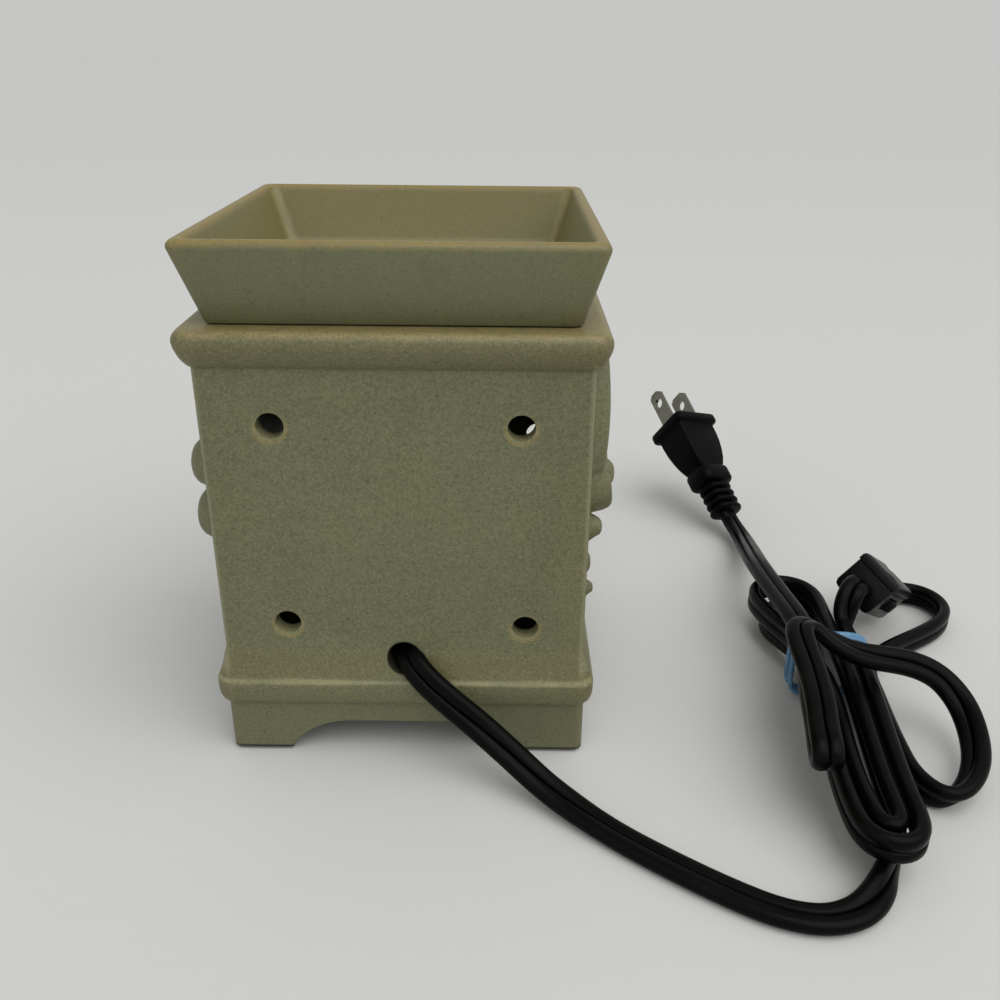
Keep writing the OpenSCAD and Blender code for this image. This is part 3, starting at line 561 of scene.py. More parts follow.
@dataclass(frozen=True)
class ClearGlass:
    """Thin clear bulb glass."""

    name: str

    def make(self) -> bpy.types.Material:
        """Builds the glass.

        Returns:
            The material.
        """
        bench = Bench(self.name)
        ripple = bench.noise(60.0, 2.0, 0.5)
        bench.set(Base_Color=(0.97, 0.98, 0.97), Roughness=0.02 + ripple.step(0.5, 0.9) * 0.04)
        bench.set(Transmission_Weight=1.0, IOR=1.45)
        bench.bump(ripple, 0.0001, 0.2)
        return bench.material


@dataclass(frozen=True)
class TieSkin:
    """Blue plastic skin of the tie, with pale scuffs here and there."""

    name: str
    blue: Colour = paint(78, 125, 160)
    pale: Colour = paint(140, 175, 198)

    def make(self) -> bpy.types.Material:
        """Builds the tie's plastic.

        Returns:
            The material.
        """
        bench = Bench(self.name)
        scuff = bench.noise(420.0, 4.0, 0.65)
        colour = bench.mix(scuff.step(0.5, 0.72) * 0.6, self.blue, self.pale)
        bench.set(Base_Color=colour, Roughness=0.34 + scuff * 0.2)
        bench.bump(scuff, 0.00008, 0.5)
        return bench.material


@dataclass(frozen=True)
class Ring:
    """One rounded rectangle of a loft: half sizes, place along it, and corner radius, in millimetres."""

    half_x: float
    half_y: float
    at: float
    corner: float


class Form:
    """A bmesh in millimetres that becomes one finished piece."""

    def __init__(self) -> None:
        """Starts an empty form."""
        self.bm = bmesh.new()

    def layer(self, name: str) -> bmesh.types.BMLayerItem:
        """A vector for each vertex, kept under a name while the form is made."""
        layers = self.bm.verts.layers.float_vector
        return layers.get(name) or layers.new(name)

    def draw_on(self, edges: Sequence[bmesh.types.BMEdge]) -> tuple[list, list]:
        """Extrudes an outline.

        Args:
            edges: The outline's edges.

        Returns:
            The new vertices and the new outline's edges.
        """
        geom = bmesh.ops.extrude_edge_only(self.bm, edges=edges)["geom"]
        verts = [g for g in geom if isinstance(g, bmesh.types.BMVert)]
        fresh = set(verts)
        return verts, [g for g in geom if isinstance(g, bmesh.types.BMEdge) and fresh.issuperset(g.verts)]

    def loft(self, rings: Sequence[Ring], detail: int = 5) -> "Form":
        """Draws one rounded rectangle up through a row of rings, and closes both ends.

        Args:
            rings: The rings, from the first end to the last.
            detail: Segments in each rounded corner.

        Returns:
            This form.
        """
        bm = self.bm
        side, out, cut = self.layer("side"), self.layer("out"), 0.3
        square = bmesh.ops.create_circle(bm, cap_ends=True, radius=math.sqrt(2), segments=4,
                                         matrix=Matrix.Rotation(math.pi / 4, 4, "Z"))["verts"]
        rounded = bmesh.ops.bevel(bm, geom=square, offset=cut, offset_type="OFFSET", affect="VERTICES",
                                  segments=detail, profile=0.5, material=-1)
        start = set(rounded["verts"])
        edges = [e for e in bm.edges if e.verts[0] in start and e.verts[1] in start]
        for v in start:
            v[side] = Vector((math.copysign(1, v.co.x), math.copysign(1, v.co.y), 0))
            v[out] = (Vector((v.co.x, v.co.y, 0)) - v[side] * (1 - cut)) / cut
        verts = list(start)
        for i, ring in enumerate(rings):
            if i:
                verts, edges = self.draw_on(edges)
            for v in verts:
                v.co = (v[side].x * (ring.half_x - ring.corner) + v[out].x * ring.corner,
                        v[side].y * (ring.half_y - ring.corner) + v[out].y * ring.corner, ring.at)
        bmesh.ops.edgeloop_fill(bm, edges=edges)
        bmesh.ops.recalc_face_normals(bm, faces=bm.faces)
        return self

    def lathe(self, profile: Sequence[Flat], steps: int = 48, closed: bool = False) -> "Form":
        """Spins a profile round the Z axis.

        Args:
            profile: Points as radius and height; an open one starts and ends on the axis.
            steps: Steps of the spin.
            closed: Whether the last point joins the first.

        Returns:
            This form.
        """
        bm = self.bm
        verts = [bm.verts.new((r, 0, z)) for r, z in profile]
        edges = [bm.edges.new(p) for p in zip(verts, verts[1:] + (verts[:1] if closed else []))]
        bmesh.ops.spin(bm, geom=verts + edges, cent=(0, 0, 0), axis=UP, angle=math.tau, steps=steps,
                       use_merge=True)
        bmesh.ops.remove_doubles(bm, verts=bm.verts, dist=1e-5)
        bmesh.ops.recalc_face_normals(bm, faces=bm.faces)
        return self

    def sweep(self, rows: Sequence[Row], section: Sequence[Flat], loop: bool = False) -> "Form":
        """Draws a section along a route.

        Args:
            rows: Points and the way that the section's width lies there.
            section: The section, as places along its width and its thickness.
            loop: Whether the route closes on itself.

        Returns:
            This form.
        """
        bm = self.bm
        spot = self.layer("spot")
        placed = [self._seat(rows, i, loop) for i in range(len(rows))]
        verts = []
        for a, b in section:
            v = bm.verts.new((a, b, 0))
            v[spot] = (a, b, 0)
            verts.append(v)
        first = list(verts)
        edges = [bm.edges.new(p) for p in zip(verts, verts[1:] + verts[:1])]
        first_edges = list(edges)
        for i, (centre, wide, thin) in enumerate(placed):
            if i:
                verts, edges = self.draw_on(edges)
            for v in verts:
                v.co = centre + wide * v[spot].x + thin * v[spot].y
        if loop:
            bmesh.ops.bridge_loops(bm, edges=edges + first_edges)
        else:
            bmesh.ops.contextual_create(bm, geom=first)
            bmesh.ops.edgeloop_fill(bm, edges=edges)
        bmesh.ops.recalc_face_normals(bm, faces=bm.faces)
        return self

    @staticmethod
    def _seat(rows: Sequence[Row], i: int, loop: bool) -> tuple[Vector, Vector, Vector]:
        """Where a section stands on a route.

        Args:
            rows: The route.
            i: The row's number.
            loop: Whether the route closes on itself.

        Returns:
            The point, the section's width direction and its thickness direction.
        """
        n = len(rows)
        before = rows[(i - 1) % n][0] if loop or i else rows[0][0]
        after = rows[(i + 1) % n][0] if loop or i < n - 1 else rows[-1][0]
        ahead = (after - before).normalized()
        hint = rows[i][1]
        wide = (hint - ahead * hint.dot(ahead)).normalized()
        return rows[i][0], wide, ahead.cross(wide)

    def block(self, size: Point, centre: Point) -> "Form":
        """Adds a plain block.

        Args:
            size: Its three sizes.
            centre: Its middle.

        Returns:
            This form.
        """
        place = Matrix.Translation(centre) @ Matrix.Diagonal((*size, 1.0))
        bmesh.ops.create_cube(self.bm, size=1.0, matrix=place)
        return self

    def round_level(self, height: float, width: float) -> "Form":
        """Rounds the edges that lie at one height.

        Args:
            height: The height.
            width: Width of the rounding.

        Returns:
            This form.
        """
        level = [e for e in self.bm.edges if all(abs(v.co.z - height) < 0.1 for v in e.verts)]
        bmesh.ops.bevel(self.bm, geom=level, offset=width, offset_type="OFFSET", affect="EDGES", segments=2,
                        profile=0.5, material=-1)
        return self

    def rod(self, radius: float, length: float, place: Matrix, segments: int = 40) -> "Form":
        """Adds a plain round bar, which cuts a hole or carries a head.

        Args:
            radius: Its radius.
            length: Its length.
            place: Where its middle goes; it lies along the place's Z axis.
            segments: Segments round it.

        Returns:
            This form.
        """
        bmesh.ops.create_cone(self.bm, cap_ends=True, segments=segments, radius1=radius, radius2=radius,
                              depth=length, matrix=place)
        return self

    def place(self, matrix: Matrix) -> "Form":
        """Moves the whole form."""
        bmesh.ops.transform(self.bm, matrix=matrix, verts=self.bm.verts)
        return self

    def raw(self, name: str) -> bpy.types.Object:
        """Turns the form into an object in metres.

        Args:
            name: The object's name.

        Returns:
            The object, in the scene but on no body yet.
        """
        bmesh.ops.scale(self.bm, vec=(MM, MM, MM), verts=self.bm.verts)
        layers = self.bm.verts.layers.float_vector
        for layer in list(layers.keys()):
            layers.remove(layers[layer])
        mesh = bpy.data.meshes.new(name)
        self.bm.to_mesh(mesh)
        self.bm.free()
        made = bpy.data.objects.new(name, mesh)
        bpy.context.scene.collection.objects.link(made)
        return made


def bake_modifiers(piece: bpy.types.Object) -> None:
    """Applies a piece's modifiers to its mesh.

    Args:
        piece: The piece.
    """
    graph = bpy.context.evaluated_depsgraph_get()
    mesh = bpy.data.meshes.new_from_object(piece.evaluated_get(graph))
    old, piece.data = piece.data, mesh
    piece.modifiers.clear()
    bpy.data.meshes.remove(old)
    mesh.name = piece.name


def carve(piece: bpy.types.Object, cutter: bpy.types.Object) -> None:
    """Cuts one form out of another and throws the cutter away.

    Args:
        piece: What is cut.
        cutter: What cuts it.
    """
    cut = piece.modifiers.new("cut", "BOOLEAN")
    cut.operation = "DIFFERENCE"
    cut.solver = "EXACT"
    cut.object = cutter
    bpy.context.view_layer.update()
    bake_modifiers(piece)
    mesh = cutter.data
    bpy.data.objects.remove(cutter)
    bpy.data.meshes.remove(mesh)


def soften(piece: bpy.types.Object, width: float, segments: int = 3, angle: float = 50.0) -> None:
    """Rounds a piece's sharp edges.

    Args:
        piece: The piece.
        width: Width of the rounding in millimetres.
        segments: Segments in it.
        angle: Edges sharper than this are rounded, in degrees.
    """
    edge = piece.modifiers.new("edge", "BEVEL")
    edge.width = width * MM
    edge.segments = segments
    edge.limit_method = "ANGLE"
    edge.angle_limit = math.radians(angle)
    edge.profile = 0.5
    bpy.context.view_layer.update()
    bake_modifiers(piece)


@dataclass
class Wardrobe:
    """Every finish, made once, and the calls that dress a piece and set it on its body."""

    made: dict[str, bpy.types.Material] = field(default_factory=dict)

    def finish(self, look: Finish) -> bpy.types.Material:
        """The material of a finish, made the first time it is asked for.

        Args:
            look: The finish.

        Returns:
            Its material.
        """
        if look.name not in self.made:
            self.made[look.name] = look.make()
        return self.made[look.name]

    def dress(self, piece: bpy.types.Object, look: Finish, body: Body, slot: Slot,
              stands_for: Sequence[str] = (), angle: float = 40.0) -> bpy.types.Object:
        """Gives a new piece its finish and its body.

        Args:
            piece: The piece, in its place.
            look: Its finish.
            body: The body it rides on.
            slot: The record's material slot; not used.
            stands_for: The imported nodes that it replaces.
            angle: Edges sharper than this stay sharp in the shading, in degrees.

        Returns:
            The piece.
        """
        piece.data.materials.clear()
        piece.data.materials.append(self.finish(look))
        piece.data.shade_smooth()
        piece.data.set_sharp_from_angle(angle=math.radians(angle))
        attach(piece, body.value)
        if stands_for:
            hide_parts(*stands_for)
        LOG.info("%s: %d faces", piece.name, len(piece.data.polygons))
        return piece

    def paint_node(self, node: str, look: Finish) -> bpy.types.Object:
        """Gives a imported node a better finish.

        Args:
            node: The node's name.
            look: Its finish.

        Returns:
            The node's object.
        """
        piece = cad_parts[node]
        if not piece.material_slots:
            piece.data.materials.append(None)
        for place in piece.material_slots:
            place.link = "OBJECT"
            place.material = self.finish(look)
        LOG.info("%s: packed shape kept", node)
        return piece


@dataclass
class Studio:
    """Camera at the photograph's view, pale floor and soft light."""

    eye: Point = (-24.5, 257.1, 172.2)
    pitch: float = 24.88
    yaw: float = -0.074
    roll: float = 0.531
    focal: float = 976.8
    picture: float = 1000.0
    sensor: float = 36.0
    floor: Colour = paint(204, 204, 200)
    floor_tooth: Colour = paint(190, 190, 186)
    floor_half: float = 19000.0
    wall: Colour = paint(198, 199, 197)
    sky: Colour = (0.97, 0.985, 1.0)
    sky_strength: float = 0.55
    sun_from: Point = (-0.5, 0.45, 1.0)
    sun_power: float = 1.45
    sun_spread: float = 70.0
    boxes: tuple[tuple[str, Point, Point, float, float], ...] = (
        ("key", (-0.35, 0.5, 1.3), (0.0, 0.0, 0.05), 1.0, 2.4),
        ("fill", (0.8, 0.9, 0.8), (0.0, 0.0, 0.06), 0.9, 1.2))

    def camera(self) -> None:
        """Sets up the camera."""
        p, w, r = (math.radians(a) for a in (self.pitch, self.yaw, self.roll))
        ahead = Vector((-math.sin(w) * math.cos(p), -math.cos(w) * math.cos(p), -math.sin(p)))
        right = Vector((-math.cos(w), math.sin(w), 0))
        above = right.cross(ahead)
        across = right * math.cos(r) + above * math.sin(r)
        top = above * math.cos(r) - right * math.sin(r)
        lens = bpy.data.cameras.new("camera")
        lens.sensor_width = self.sensor
        lens.lens = self.focal / self.picture * self.sensor
        lens.clip_start, lens.clip_end = 0.01, 20.0
        made = bpy.data.objects.new("camera", lens)
        turn = Matrix((across, top, -ahead)).transposed().to_4x4()
        made.matrix_world = Matrix.Translation(Vector(self.eye) * MM) @ turn
        bpy.context.scene.collection.objects.link(made)
        bpy.context.scene.camera = made

    @staticmethod
    def hang(light: bpy.types.Light, way: Vector) -> bpy.types.Object:
        """Adds a light that shines one way.

        Args:
            light: The light.
            way: The way it shines.

        Returns:
            Its object.
        """
        made = bpy.data.objects.new(light.name, light)
        made.rotation_euler = way.to_track_quat("-Z", "Y").to_euler()
        bpy.context.scene.collection.objects.link(made)
        return made

    def lamp(self, name: str, at: Point, aim: Point, size: float, power: float) -> None:
        """Adds a soft box.

        Args:
            name: Its name.
            at: Where it hangs, in metres.
            aim: Where it points.
            size: Side of the box.
            power: Its power in watts.
        """
        light = bpy.data.lights.new(name, "AREA")
        light.shape = "SQUARE"
        light.size = size
        light.energy = power
        self.hang(light, Vector(aim) - Vector(at)).location = at

    def stage(self) -> None:
        """Lays the floor and lights the scene."""
        form = Form()
        bmesh.ops.create_grid(form.bm, x_segments=8, y_segments=8, size=self.floor_half)
        ground = form.raw("floor")
        bench = Bench("floor_paper")
        tooth = bench.noise(220.0, 4.0, 0.6).step(0.3, 0.8)
        bench.set(Base_Color=bench.mix(tooth * 0.06, self.floor, self.floor_tooth), Roughness=0.7)
        ground.data.materials.append(bench.material)
        self.world()
        for box in self.boxes:
            self.lamp(*box)
        self.daylight()
        bpy.context.scene.view_settings.view_transform = "Standard"

    def daylight(self) -> None:
        """Adds a broad even light, so that the floor is as pale far off as it is near."""
        light = bpy.data.lights.new("daylight", "SUN")
        light.energy = self.sun_power
        light.angle = math.radians(self.sun_spread)
        self.hang(light, -Vector(self.sun_from))

    def world(self) -> None:
        """Sets the room's even light, and the pale wall that the camera, metal and glass see."""
        room = bpy.data.worlds.new("room")
        room.use_nodes = True
        tree = room.node_tree
        tree.nodes.clear()
        path = tree.nodes.new("ShaderNodeLightPath")
        seen = path.outputs["Is Camera Ray"]
        for kind in ("Is Glossy Ray", "Is Transmission Ray"):
            either = tree.nodes.new("ShaderNodeMath")
            either.operation = "MAXIMUM"
            tree.links.new(seen, either.inputs[0])
            tree.links.new(path.outputs[kind], either.inputs[1])
            seen = either.outputs[0]
        even = tree.nodes.new("ShaderNodeBackground")
        even.inputs["Color"].default_value = (*self.sky, 1.0)
        even.inputs["Strength"].default_value = self.sky_strength
        wall = tree.nodes.new("ShaderNodeBackground")
        wall.inputs["Color"].default_value = (*self.wall, 1.0)
        mixed = tree.nodes.new("ShaderNodeMixShader")
        tree.links.new(seen, mixed.inputs[0])
        tree.links.new(even.outputs[0], mixed.inputs[1])
        tree.links.new(wall.outputs[0], mixed.inputs[2])
        end = tree.nodes.new("ShaderNodeOutputWorld")
        tree.links.new(mixed.outputs[0], end.inputs["Surface"])
        bpy.context.scene.world = room


@dataclass
class Hank:
    """The tied hank: two bows of flat cord on edge, drawn in at a waist."""

    near_x: float = -113.4
    waist_x: float = -119.6
    far_x: float = -117.6
    near_y: float = 94.0
    length: float = 119.0
    near_r: float = 7.0
    far_r: float = 12.0
    pitch: float = 4.6
    waist: float = 75.0
    start: float = 24.0
    end: float = 81.0
    lift: float = 2.1
    squeeze: float = 1.6
    layers: Flat = (4.1, 12.5)
    runs: tuple[tuple[int, int, int], ...] = ((0, 0, 0), (1, 0, 1), (1, 1, 1), (0, 1, 1), (0, 1, 1))
    run_steps: int = 8
    arc_steps: int = 5

    @property
    def waist_half(self) -> float:
        """Half width of the hank under the tie."""
        return self.squeeze * self.pitch

    def opened(self, a: float) -> float:
        """Half width at a station before the waist draws it in."""
        return lerp(self.near_r, self.far_r, (a - self.near_r) / (self.length - self.near_r - self.far_r))

    def share(self, a: float) -> float:
        """How much of the waist's pull a station feels.

        Args:
            a: The station.

        Returns:
            The share, from 0 to 1.
        """
        away = self.near_r if a < self.waist else self.length - self.far_r
        t = (a - away) / (self.waist - away)
        return (1 - math.cos(math.pi * max(0.0, min(1.0, t)))) / 2

    def half(self, a: float, inset: int) -> float:
        """Half width at a station for a turn set in by a number of cords."""
        drawn = self.opened(self.waist) - self.waist_half
        return self.opened(a) - inset * self.pitch - drawn * self.share(a)

    def at(self, a: float, b: float, z: float) -> Vector:
        """A place on the hank from its station, its side and its layer."""
        side = lerp(self.near_x if a < self.waist else self.far_x, self.waist_x, self.share(a))
        return Vector((side + b, self.near_y - a, z + self.lift * self.share(a)))

    def run(self, k: int) -> Iterator[Vector]:
        """Points of one run.

        Args:
            k: The run's number.

        Yields:
            The points from its start to its end.
        """
        even, end = k % 2 == 0, self.length - self.far_r
        first = (self.start if k == 0 else self.near_r) if even else end
        last = (self.end if k == len(self.runs) - 1 else end) if even else self.near_r
        inset, low, high = self.runs[k]
        for i in range(self.run_steps + 1):
            t = i / self.run_steps
            a = lerp(first, last, t)
            side = (-1 if even else 1) * self.half(a, inset)
            yield self.at(a, side, lerp(self.layers[low], self.layers[high], t))

    def fold(self, k: int) -> Iterator[Vector]:
        """Points of the fold after one run.

        Args:
            k: The run's number.

        Yields:
            The points between that run and the next.
        """
        even = k % 2 == 0
        a = self.length - self.far_r if even else self.near_r
        b0 = (-1 if even else 1) * self.half(a, self.runs[k][0])
        b1 = (1 if even else -1) * self.half(a, self.runs[k + 1][0])
        z = self.layers[self.runs[k][2]]
        for i in range(1, self.arc_steps):
            t = math.pi * i / self.arc_steps
            ahead = (1 if even else -1) * abs(b1 - b0) / 2 * math.sin(t)
            yield self.at(a + ahead, (b0 + b1) / 2 + (b0 - b1) / 2 * math.cos(t), z)

    def points(self) -> list[Vector]:
        """All points of the hank.

        Returns:
            The points in order.
        """
        found: list[Vector] = []
        for k in range(len(self.runs)):
            found.extend(self.run(k))
            if k < len(self.runs) - 1:
                found.extend(self.fold(k))
        return found


@dataclass
class Seat:
    """Where a fitting on the cord stands: its cord end, and its turn about X, Y and Z in degrees."""

    at: Point
    turn: Point

    @property
    def matrix(self) -> Matrix:
        """From the fitting's own frame to the part's."""
        turn = Euler([math.radians(a) for a in self.turn], "XYZ")
        return Matrix.Translation(self.at) @ turn.to_matrix().to_4x4()

    def way(self, axis: Point) -> Vector:
        """A direction of the fitting's own frame in the part's frame."""
        return self.matrix.to_3x3() @ Vector(axis)


SWITCH_SEAT = Seat((-137.7, -7.0, 22.4), (31.0, 30.0, 234.0))
PLUG_SEAT = Seat((-112.3, -86.0, 8.5), (17.5, -31.5, -68.5))
SWITCH_LENGTH = 26.0


@dataclass
class Flex:
    """The flat twin cord: from the lamp holder to the switch, and from the switch to the plug."""

    wardrobe: Wardrobe
    width: float = 7.6
    thick: float = 3.8
    entry_drop: float = 1.6
    hole: Point = (0.0, 0.0465, 0.0297)
    core_r: float = 1.1
    hank: Hank = field(default_factory=Hank)
    look: Moulded = Moulded("cord_vinyl", paint(6, 6, 5), paint(20, 20, 18), 0.32, 900.0, 0.00005, 0.07)
    lead: Route = (
        ((0, 24.5, 29.7), (-1, 0, 0)), ((0, 34, 29.7), (-1, 0, 0)), ((-0.2, 41, 29.6), (-0.9, 0, 0.4)),
        ((-1.5, 46.4, 28.9), (-0.7, 0, 0.7)), ((-5.2, 50.2, 26), (-0.7, -0.1, 0.7)),
        ((-11, 53.2, 21.8), (-0.7, -0.2, 0.7)), ((-19, 56, 16), (-0.7, -0.4, 0.6)),
        ((-27, 60, 10.5), (-0.6, -0.6, 0.5)), ((-37, 67.2, 5.2), (-0.6, -0.7, 0.3)),
        ((-51, 78.4, 2.4), (-0.6, -0.8, 0)), ((-64, 88.4, 2.2), (-0.6, -0.8, 0)),
        ((-77, 97.2, 2.2), (-0.5, -0.9, 0)), ((-87, 102.4, 2.2), (-0.4, -0.9, 0)),
        ((-96, 104, 2.3), (0, -1, 0)), ((-104, 101.8, 3), (0.4, -0.9, 0.2)),
        ((-109.4, 96.8, 4), (0.6, -0.5, 0.6)), ((-113.2, 90.4, 4.1), (0.3, -0.2, 0.9)),
        ((-117.6, 83, 4.1), UP),
    )
    feed: Route = (
        ((-127.8, 5.6, 15.6), (0.5, 0.2, 0.8)), ((-128.4, 3.8, 19), (0.8, 0, 0.5)),
        ((-129.2, 2.4, 22.4), (0.85, -0.35, 0.3)), ((-130.9, 0.6, 25.2), (0.75, -0.6, 0.3)),
    )
    back: Route = (
        ((-159.6, -33.2, 4.2), UP), ((-165.4, -32.2, 4.2), UP), ((-170, -27, 4.2), UP),
        ((-170.4, -19.4, 4.2), UP), ((-165.2, -11.6, 4.2), UP), ((-155.2, -4.2, 4.2), UP),
        ((-145, 2.4, 4.2), UP), ((-136.8, 9.4, 4.2), UP), ((-133.4, 17.4, 4.2), UP),
        ((-132.2, 28, 4.2), UP), ((-131, 40, 4.2), UP), ((-130.2, 52, 4.2), UP), ((-130.4, 61, 4.2), UP),
        ((-133.4, 67.4, 4.2), (-0.2, 0.3, 0.9)), ((-137.4, 68, 4.6), (-0.4, 0.5, 0.8)),
        ((-142.2, 64.6, 5.4), (-0.6, 0.4, 0.7)), ((-146.8, 58, 6.8), (-0.8, 0.2, 0.6)),
        ((-149.6, 49, 8.8), (-0.8, 0, 0.6)), ((-149.4, 40, 12.4), (-0.7, -0.4, 0.6)),
        ((-144.6, 34.4, 17), (-0.4, -0.7, 0.6)), ((-136.8, 33, 20.2), (-0.2, -0.8, 0.6)),
        ((-128.6, 33.4, 22), (-0.1, -0.9, 0.5)), ((-121, 33.6, 23.8), (0, -1, 0.3)),
        ((-114.6, 32.2, 26.6), (0.1, -0.9, 0.1)), ((-109.8, 28.2, 29.2), (0.6, -0.8, 0)),
        ((-105.6, 30.8, 30.6), (0.9, -0.4, 0)), ((-104.6, 39, 29.6), ALONG), ((-104.4, 49, 28.4), ALONG),
        ((-103.4, 60, 27), ALONG), ((-101.8, 70, 25.2), ALONG), ((-101.4, 74, 24.9), ALONG),
        ((-101.2, 76.4, 23.4), ALONG), ((-101.3, 76.6, 21.2), ALONG), ((-101.7, 74.6, 19.5), ALONG),
        ((-102.3, 71, 19), ALONG), ((-104.2, 61, 19.6), ALONG), ((-106, 49, 20.4), ALONG),
        ((-108.4, 37, 21.4), ALONG), ((-110.4, 25, 22.6), ALONG), ((-110.2, 13, 22.8), ALONG),
        ((-109.5, 1, 21.8), ALONG), ((-108.9, -13, 20.4), ALONG), ((-109.2, -28, 18), (1, 0.04, 0.02)),
        ((-111.8, -46, 12.6), (0.98, 0.14, 0.07)), ((-114.1, -61, 7.8), (0.94, 0.25, 0.13)),
        ((-115.3, -72, 5.2), (0.88, 0.4, 0.2)),
    )

    def section(self) -> list[Flat]:
        """The cord's outline: two round cores side by side with a groove between them.

        Returns:
            Places along the width and the thickness.
        """
        r = self.thick / 2
        lip = [(0.75, 0.99 * r), (0.3, 0.86 * r)]
        core = arc((self.width / 2 - r, 0.0), (r, r), -90, 90, 12)
        right = [(a, -b) for a, b in reversed(lip)] + core + lip
        left = [(-a, b) for a, b in reversed(right)]
        return right + [(0.0, 0.5 * r)] + left + [(0.0, -0.5 * r)]

    @staticmethod
    def rows(route: Sequence[tuple[Point, Point]]) -> list[Row]:
        """Makes vectors of a written route."""
        return [(Vector(p), Vector(h)) for p, h in route]

    @staticmethod
    def smooth(rows: Sequence[Row], gap: float = 1.5) -> list[Row]:
        """Passes one smooth line through a route's rows.

        Args:
            rows: The rows.
            gap: About how far apart the new rows are.

        Returns:
            The denser rows.
        """
        points = [r[0] for r in rows]
        points = [points[0] * 2 - points[1], *points, points[-1] * 2 - points[-2]]
        dense: list[Row] = []
        for i in range(len(rows) - 1):
            p0, p1, p2, p3 = points[i:i + 4]
            k0, k1, k2 = (max(1e-6, (b - a).length) ** 0.5 for a, b in ((p0, p1), (p1, p2), (p2, p3)))
            m1 = ((p1 - p0) / k0 - (p2 - p0) / (k0 + k1) + (p2 - p1) / k1) * k1
            m2 = ((p2 - p1) / k1 - (p3 - p1) / (k1 + k2) + (p3 - p2) / k2) * k1
            steps = max(1, round((p2 - p1).length / gap))
            for j in range(steps):
                t = j / steps
                at = (p1 * (2 * t ** 3 - 3 * t ** 2 + 1) + m1 * (t ** 3 - 2 * t ** 2 + t)
                      + p2 * (3 * t ** 2 - 2 * t ** 3) + m2 * (t ** 3 - t ** 2))
                dense.append((at, rows[i][1].lerp(rows[i + 1][1], smooth_step(0, 1, t))))
        dense.append(rows[-1])
        return dense

    @staticmethod
    def relax(rows: Sequence[Row], rounds: int = 6, ends: int = 4) -> list[Row]:
        """Rounds off tight turns, as a springy cord does.

        Args:
            rows: The dense rows.
            rounds: How often each row moves towards its neighbours.
            ends: Rows at each end that stay where they are.

        Returns:
            The relaxed rows.
        """
        eased = list(rows)
        for _ in range(rounds):
            threes = zip(eased, eased[1:], eased[2:])
            moved = [tuple((a + b * 2 + c) / 4 for a, b, c in zip(*three)) for three in threes]
            eased[ends:-ends] = moved[ends - 1:1 - ends]
        return eased

    @staticmethod
    def far_gate() -> Vector:
        """Where the cord to the plug leaves the switch."""
        return Vector(SWITCH_SEAT.at) + SWITCH_SEAT.way(ALONG) * SWITCH_LENGTH

    def routes(self) -> tuple[list[Row], list[Row]]:
        """The two cords' dense rows.

        Returns:
            From the holder to the switch, and from the switch to the plug.
        """
        knots = self.hank.points()
        enter = (knots[1] - knots[0]).normalized()
        leave = (knots[-1] - knots[-2]).normalized()
        stand, axis, side = Vector(UP), SWITCH_SEAT.way(ALONG), SWITCH_SEAT.way(ASIDE)
        gate = Vector(SWITCH_SEAT.at) - SWITCH_SEAT.way(UP) * self.entry_drop
        coiled = [knots[0] - enter * self.thick, *knots, knots[-1] + leave * self.thick]
        to_switch = (self.rows(self.lead) + [(k, stand) for k in coiled] + self.rows(self.feed)
                     + [(gate - axis * self.width, side), (gate, side)])
        gate = self.far_gate()
        end, ahead, across = Vector(PLUG_SEAT.at), PLUG_SEAT.way(ALONG), PLUG_SEAT.way(ASIDE)
        to_plug = ([(gate, side), (gate + axis * self.width, side)] + self.rows(self.back)
                   + [(end - ahead * self.thick, across), (end, across)])
        return self.relax(self.smooth(to_switch)), self.relax(self.smooth(to_plug))

    def build(self, switch: Sequence[bpy.types.Object], plug: Sequence[bpy.types.Object]) -> None:
        """Args:
            switch: The pieces of the switch; not used.
            plug: The pieces of the plug; not used.
        """
        first, second = self.routes()
        self.one("cord_to_switch", first, ("cord_inner", "cord_lead", "cord_hank", "cord_feed"),
                 self.hole)
        self.one("cord_to_plug", second, ("cord_return",), tuple(self.far_gate() * MM))
        self.cores()

    def one(self, name: str, rows: list[Row], stands_for: Sequence[str], leaves: Point) -> None:
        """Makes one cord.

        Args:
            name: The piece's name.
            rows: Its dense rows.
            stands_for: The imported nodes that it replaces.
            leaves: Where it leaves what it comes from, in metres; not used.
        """
        piece = Form().sweep(rows, self.section()).raw(name)
        self.wardrobe.dress(piece, self.look, Body.HOUSING, Slot.CORD, stands_for, 45.0)
        path = [tuple(r[0] * MM) for r in rows]
        length = sum((b[0] - a[0]).length for a, b in zip(rows, rows[1:])) * MM
        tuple(leaves)

    def cores(self) -> None:
        """Makes the two bared cores from the cord's inner end to the holder's screws."""
        form = Form()
        section = oval((self.core_r, self.core_r), 12)
        for s in (-1, 1):
            route = [((s * 1.9, 24.7, 29.7), UP), ((s * 1.9, 22.5, 29.7), UP), ((s * 3.45, 17.5, 29.8), UP),
                     ((s * 5, 13.6, 29.8), UP), ((s * 5, 12.3, 29.8), UP)]
            form.sweep(self.smooth(self.rows(route), 0.8), section)
        self.wardrobe.dress(form.raw("cord_cores"), self.look, Body.HOUSING, Slot.CORD, ("lead_wires",), 60.0)


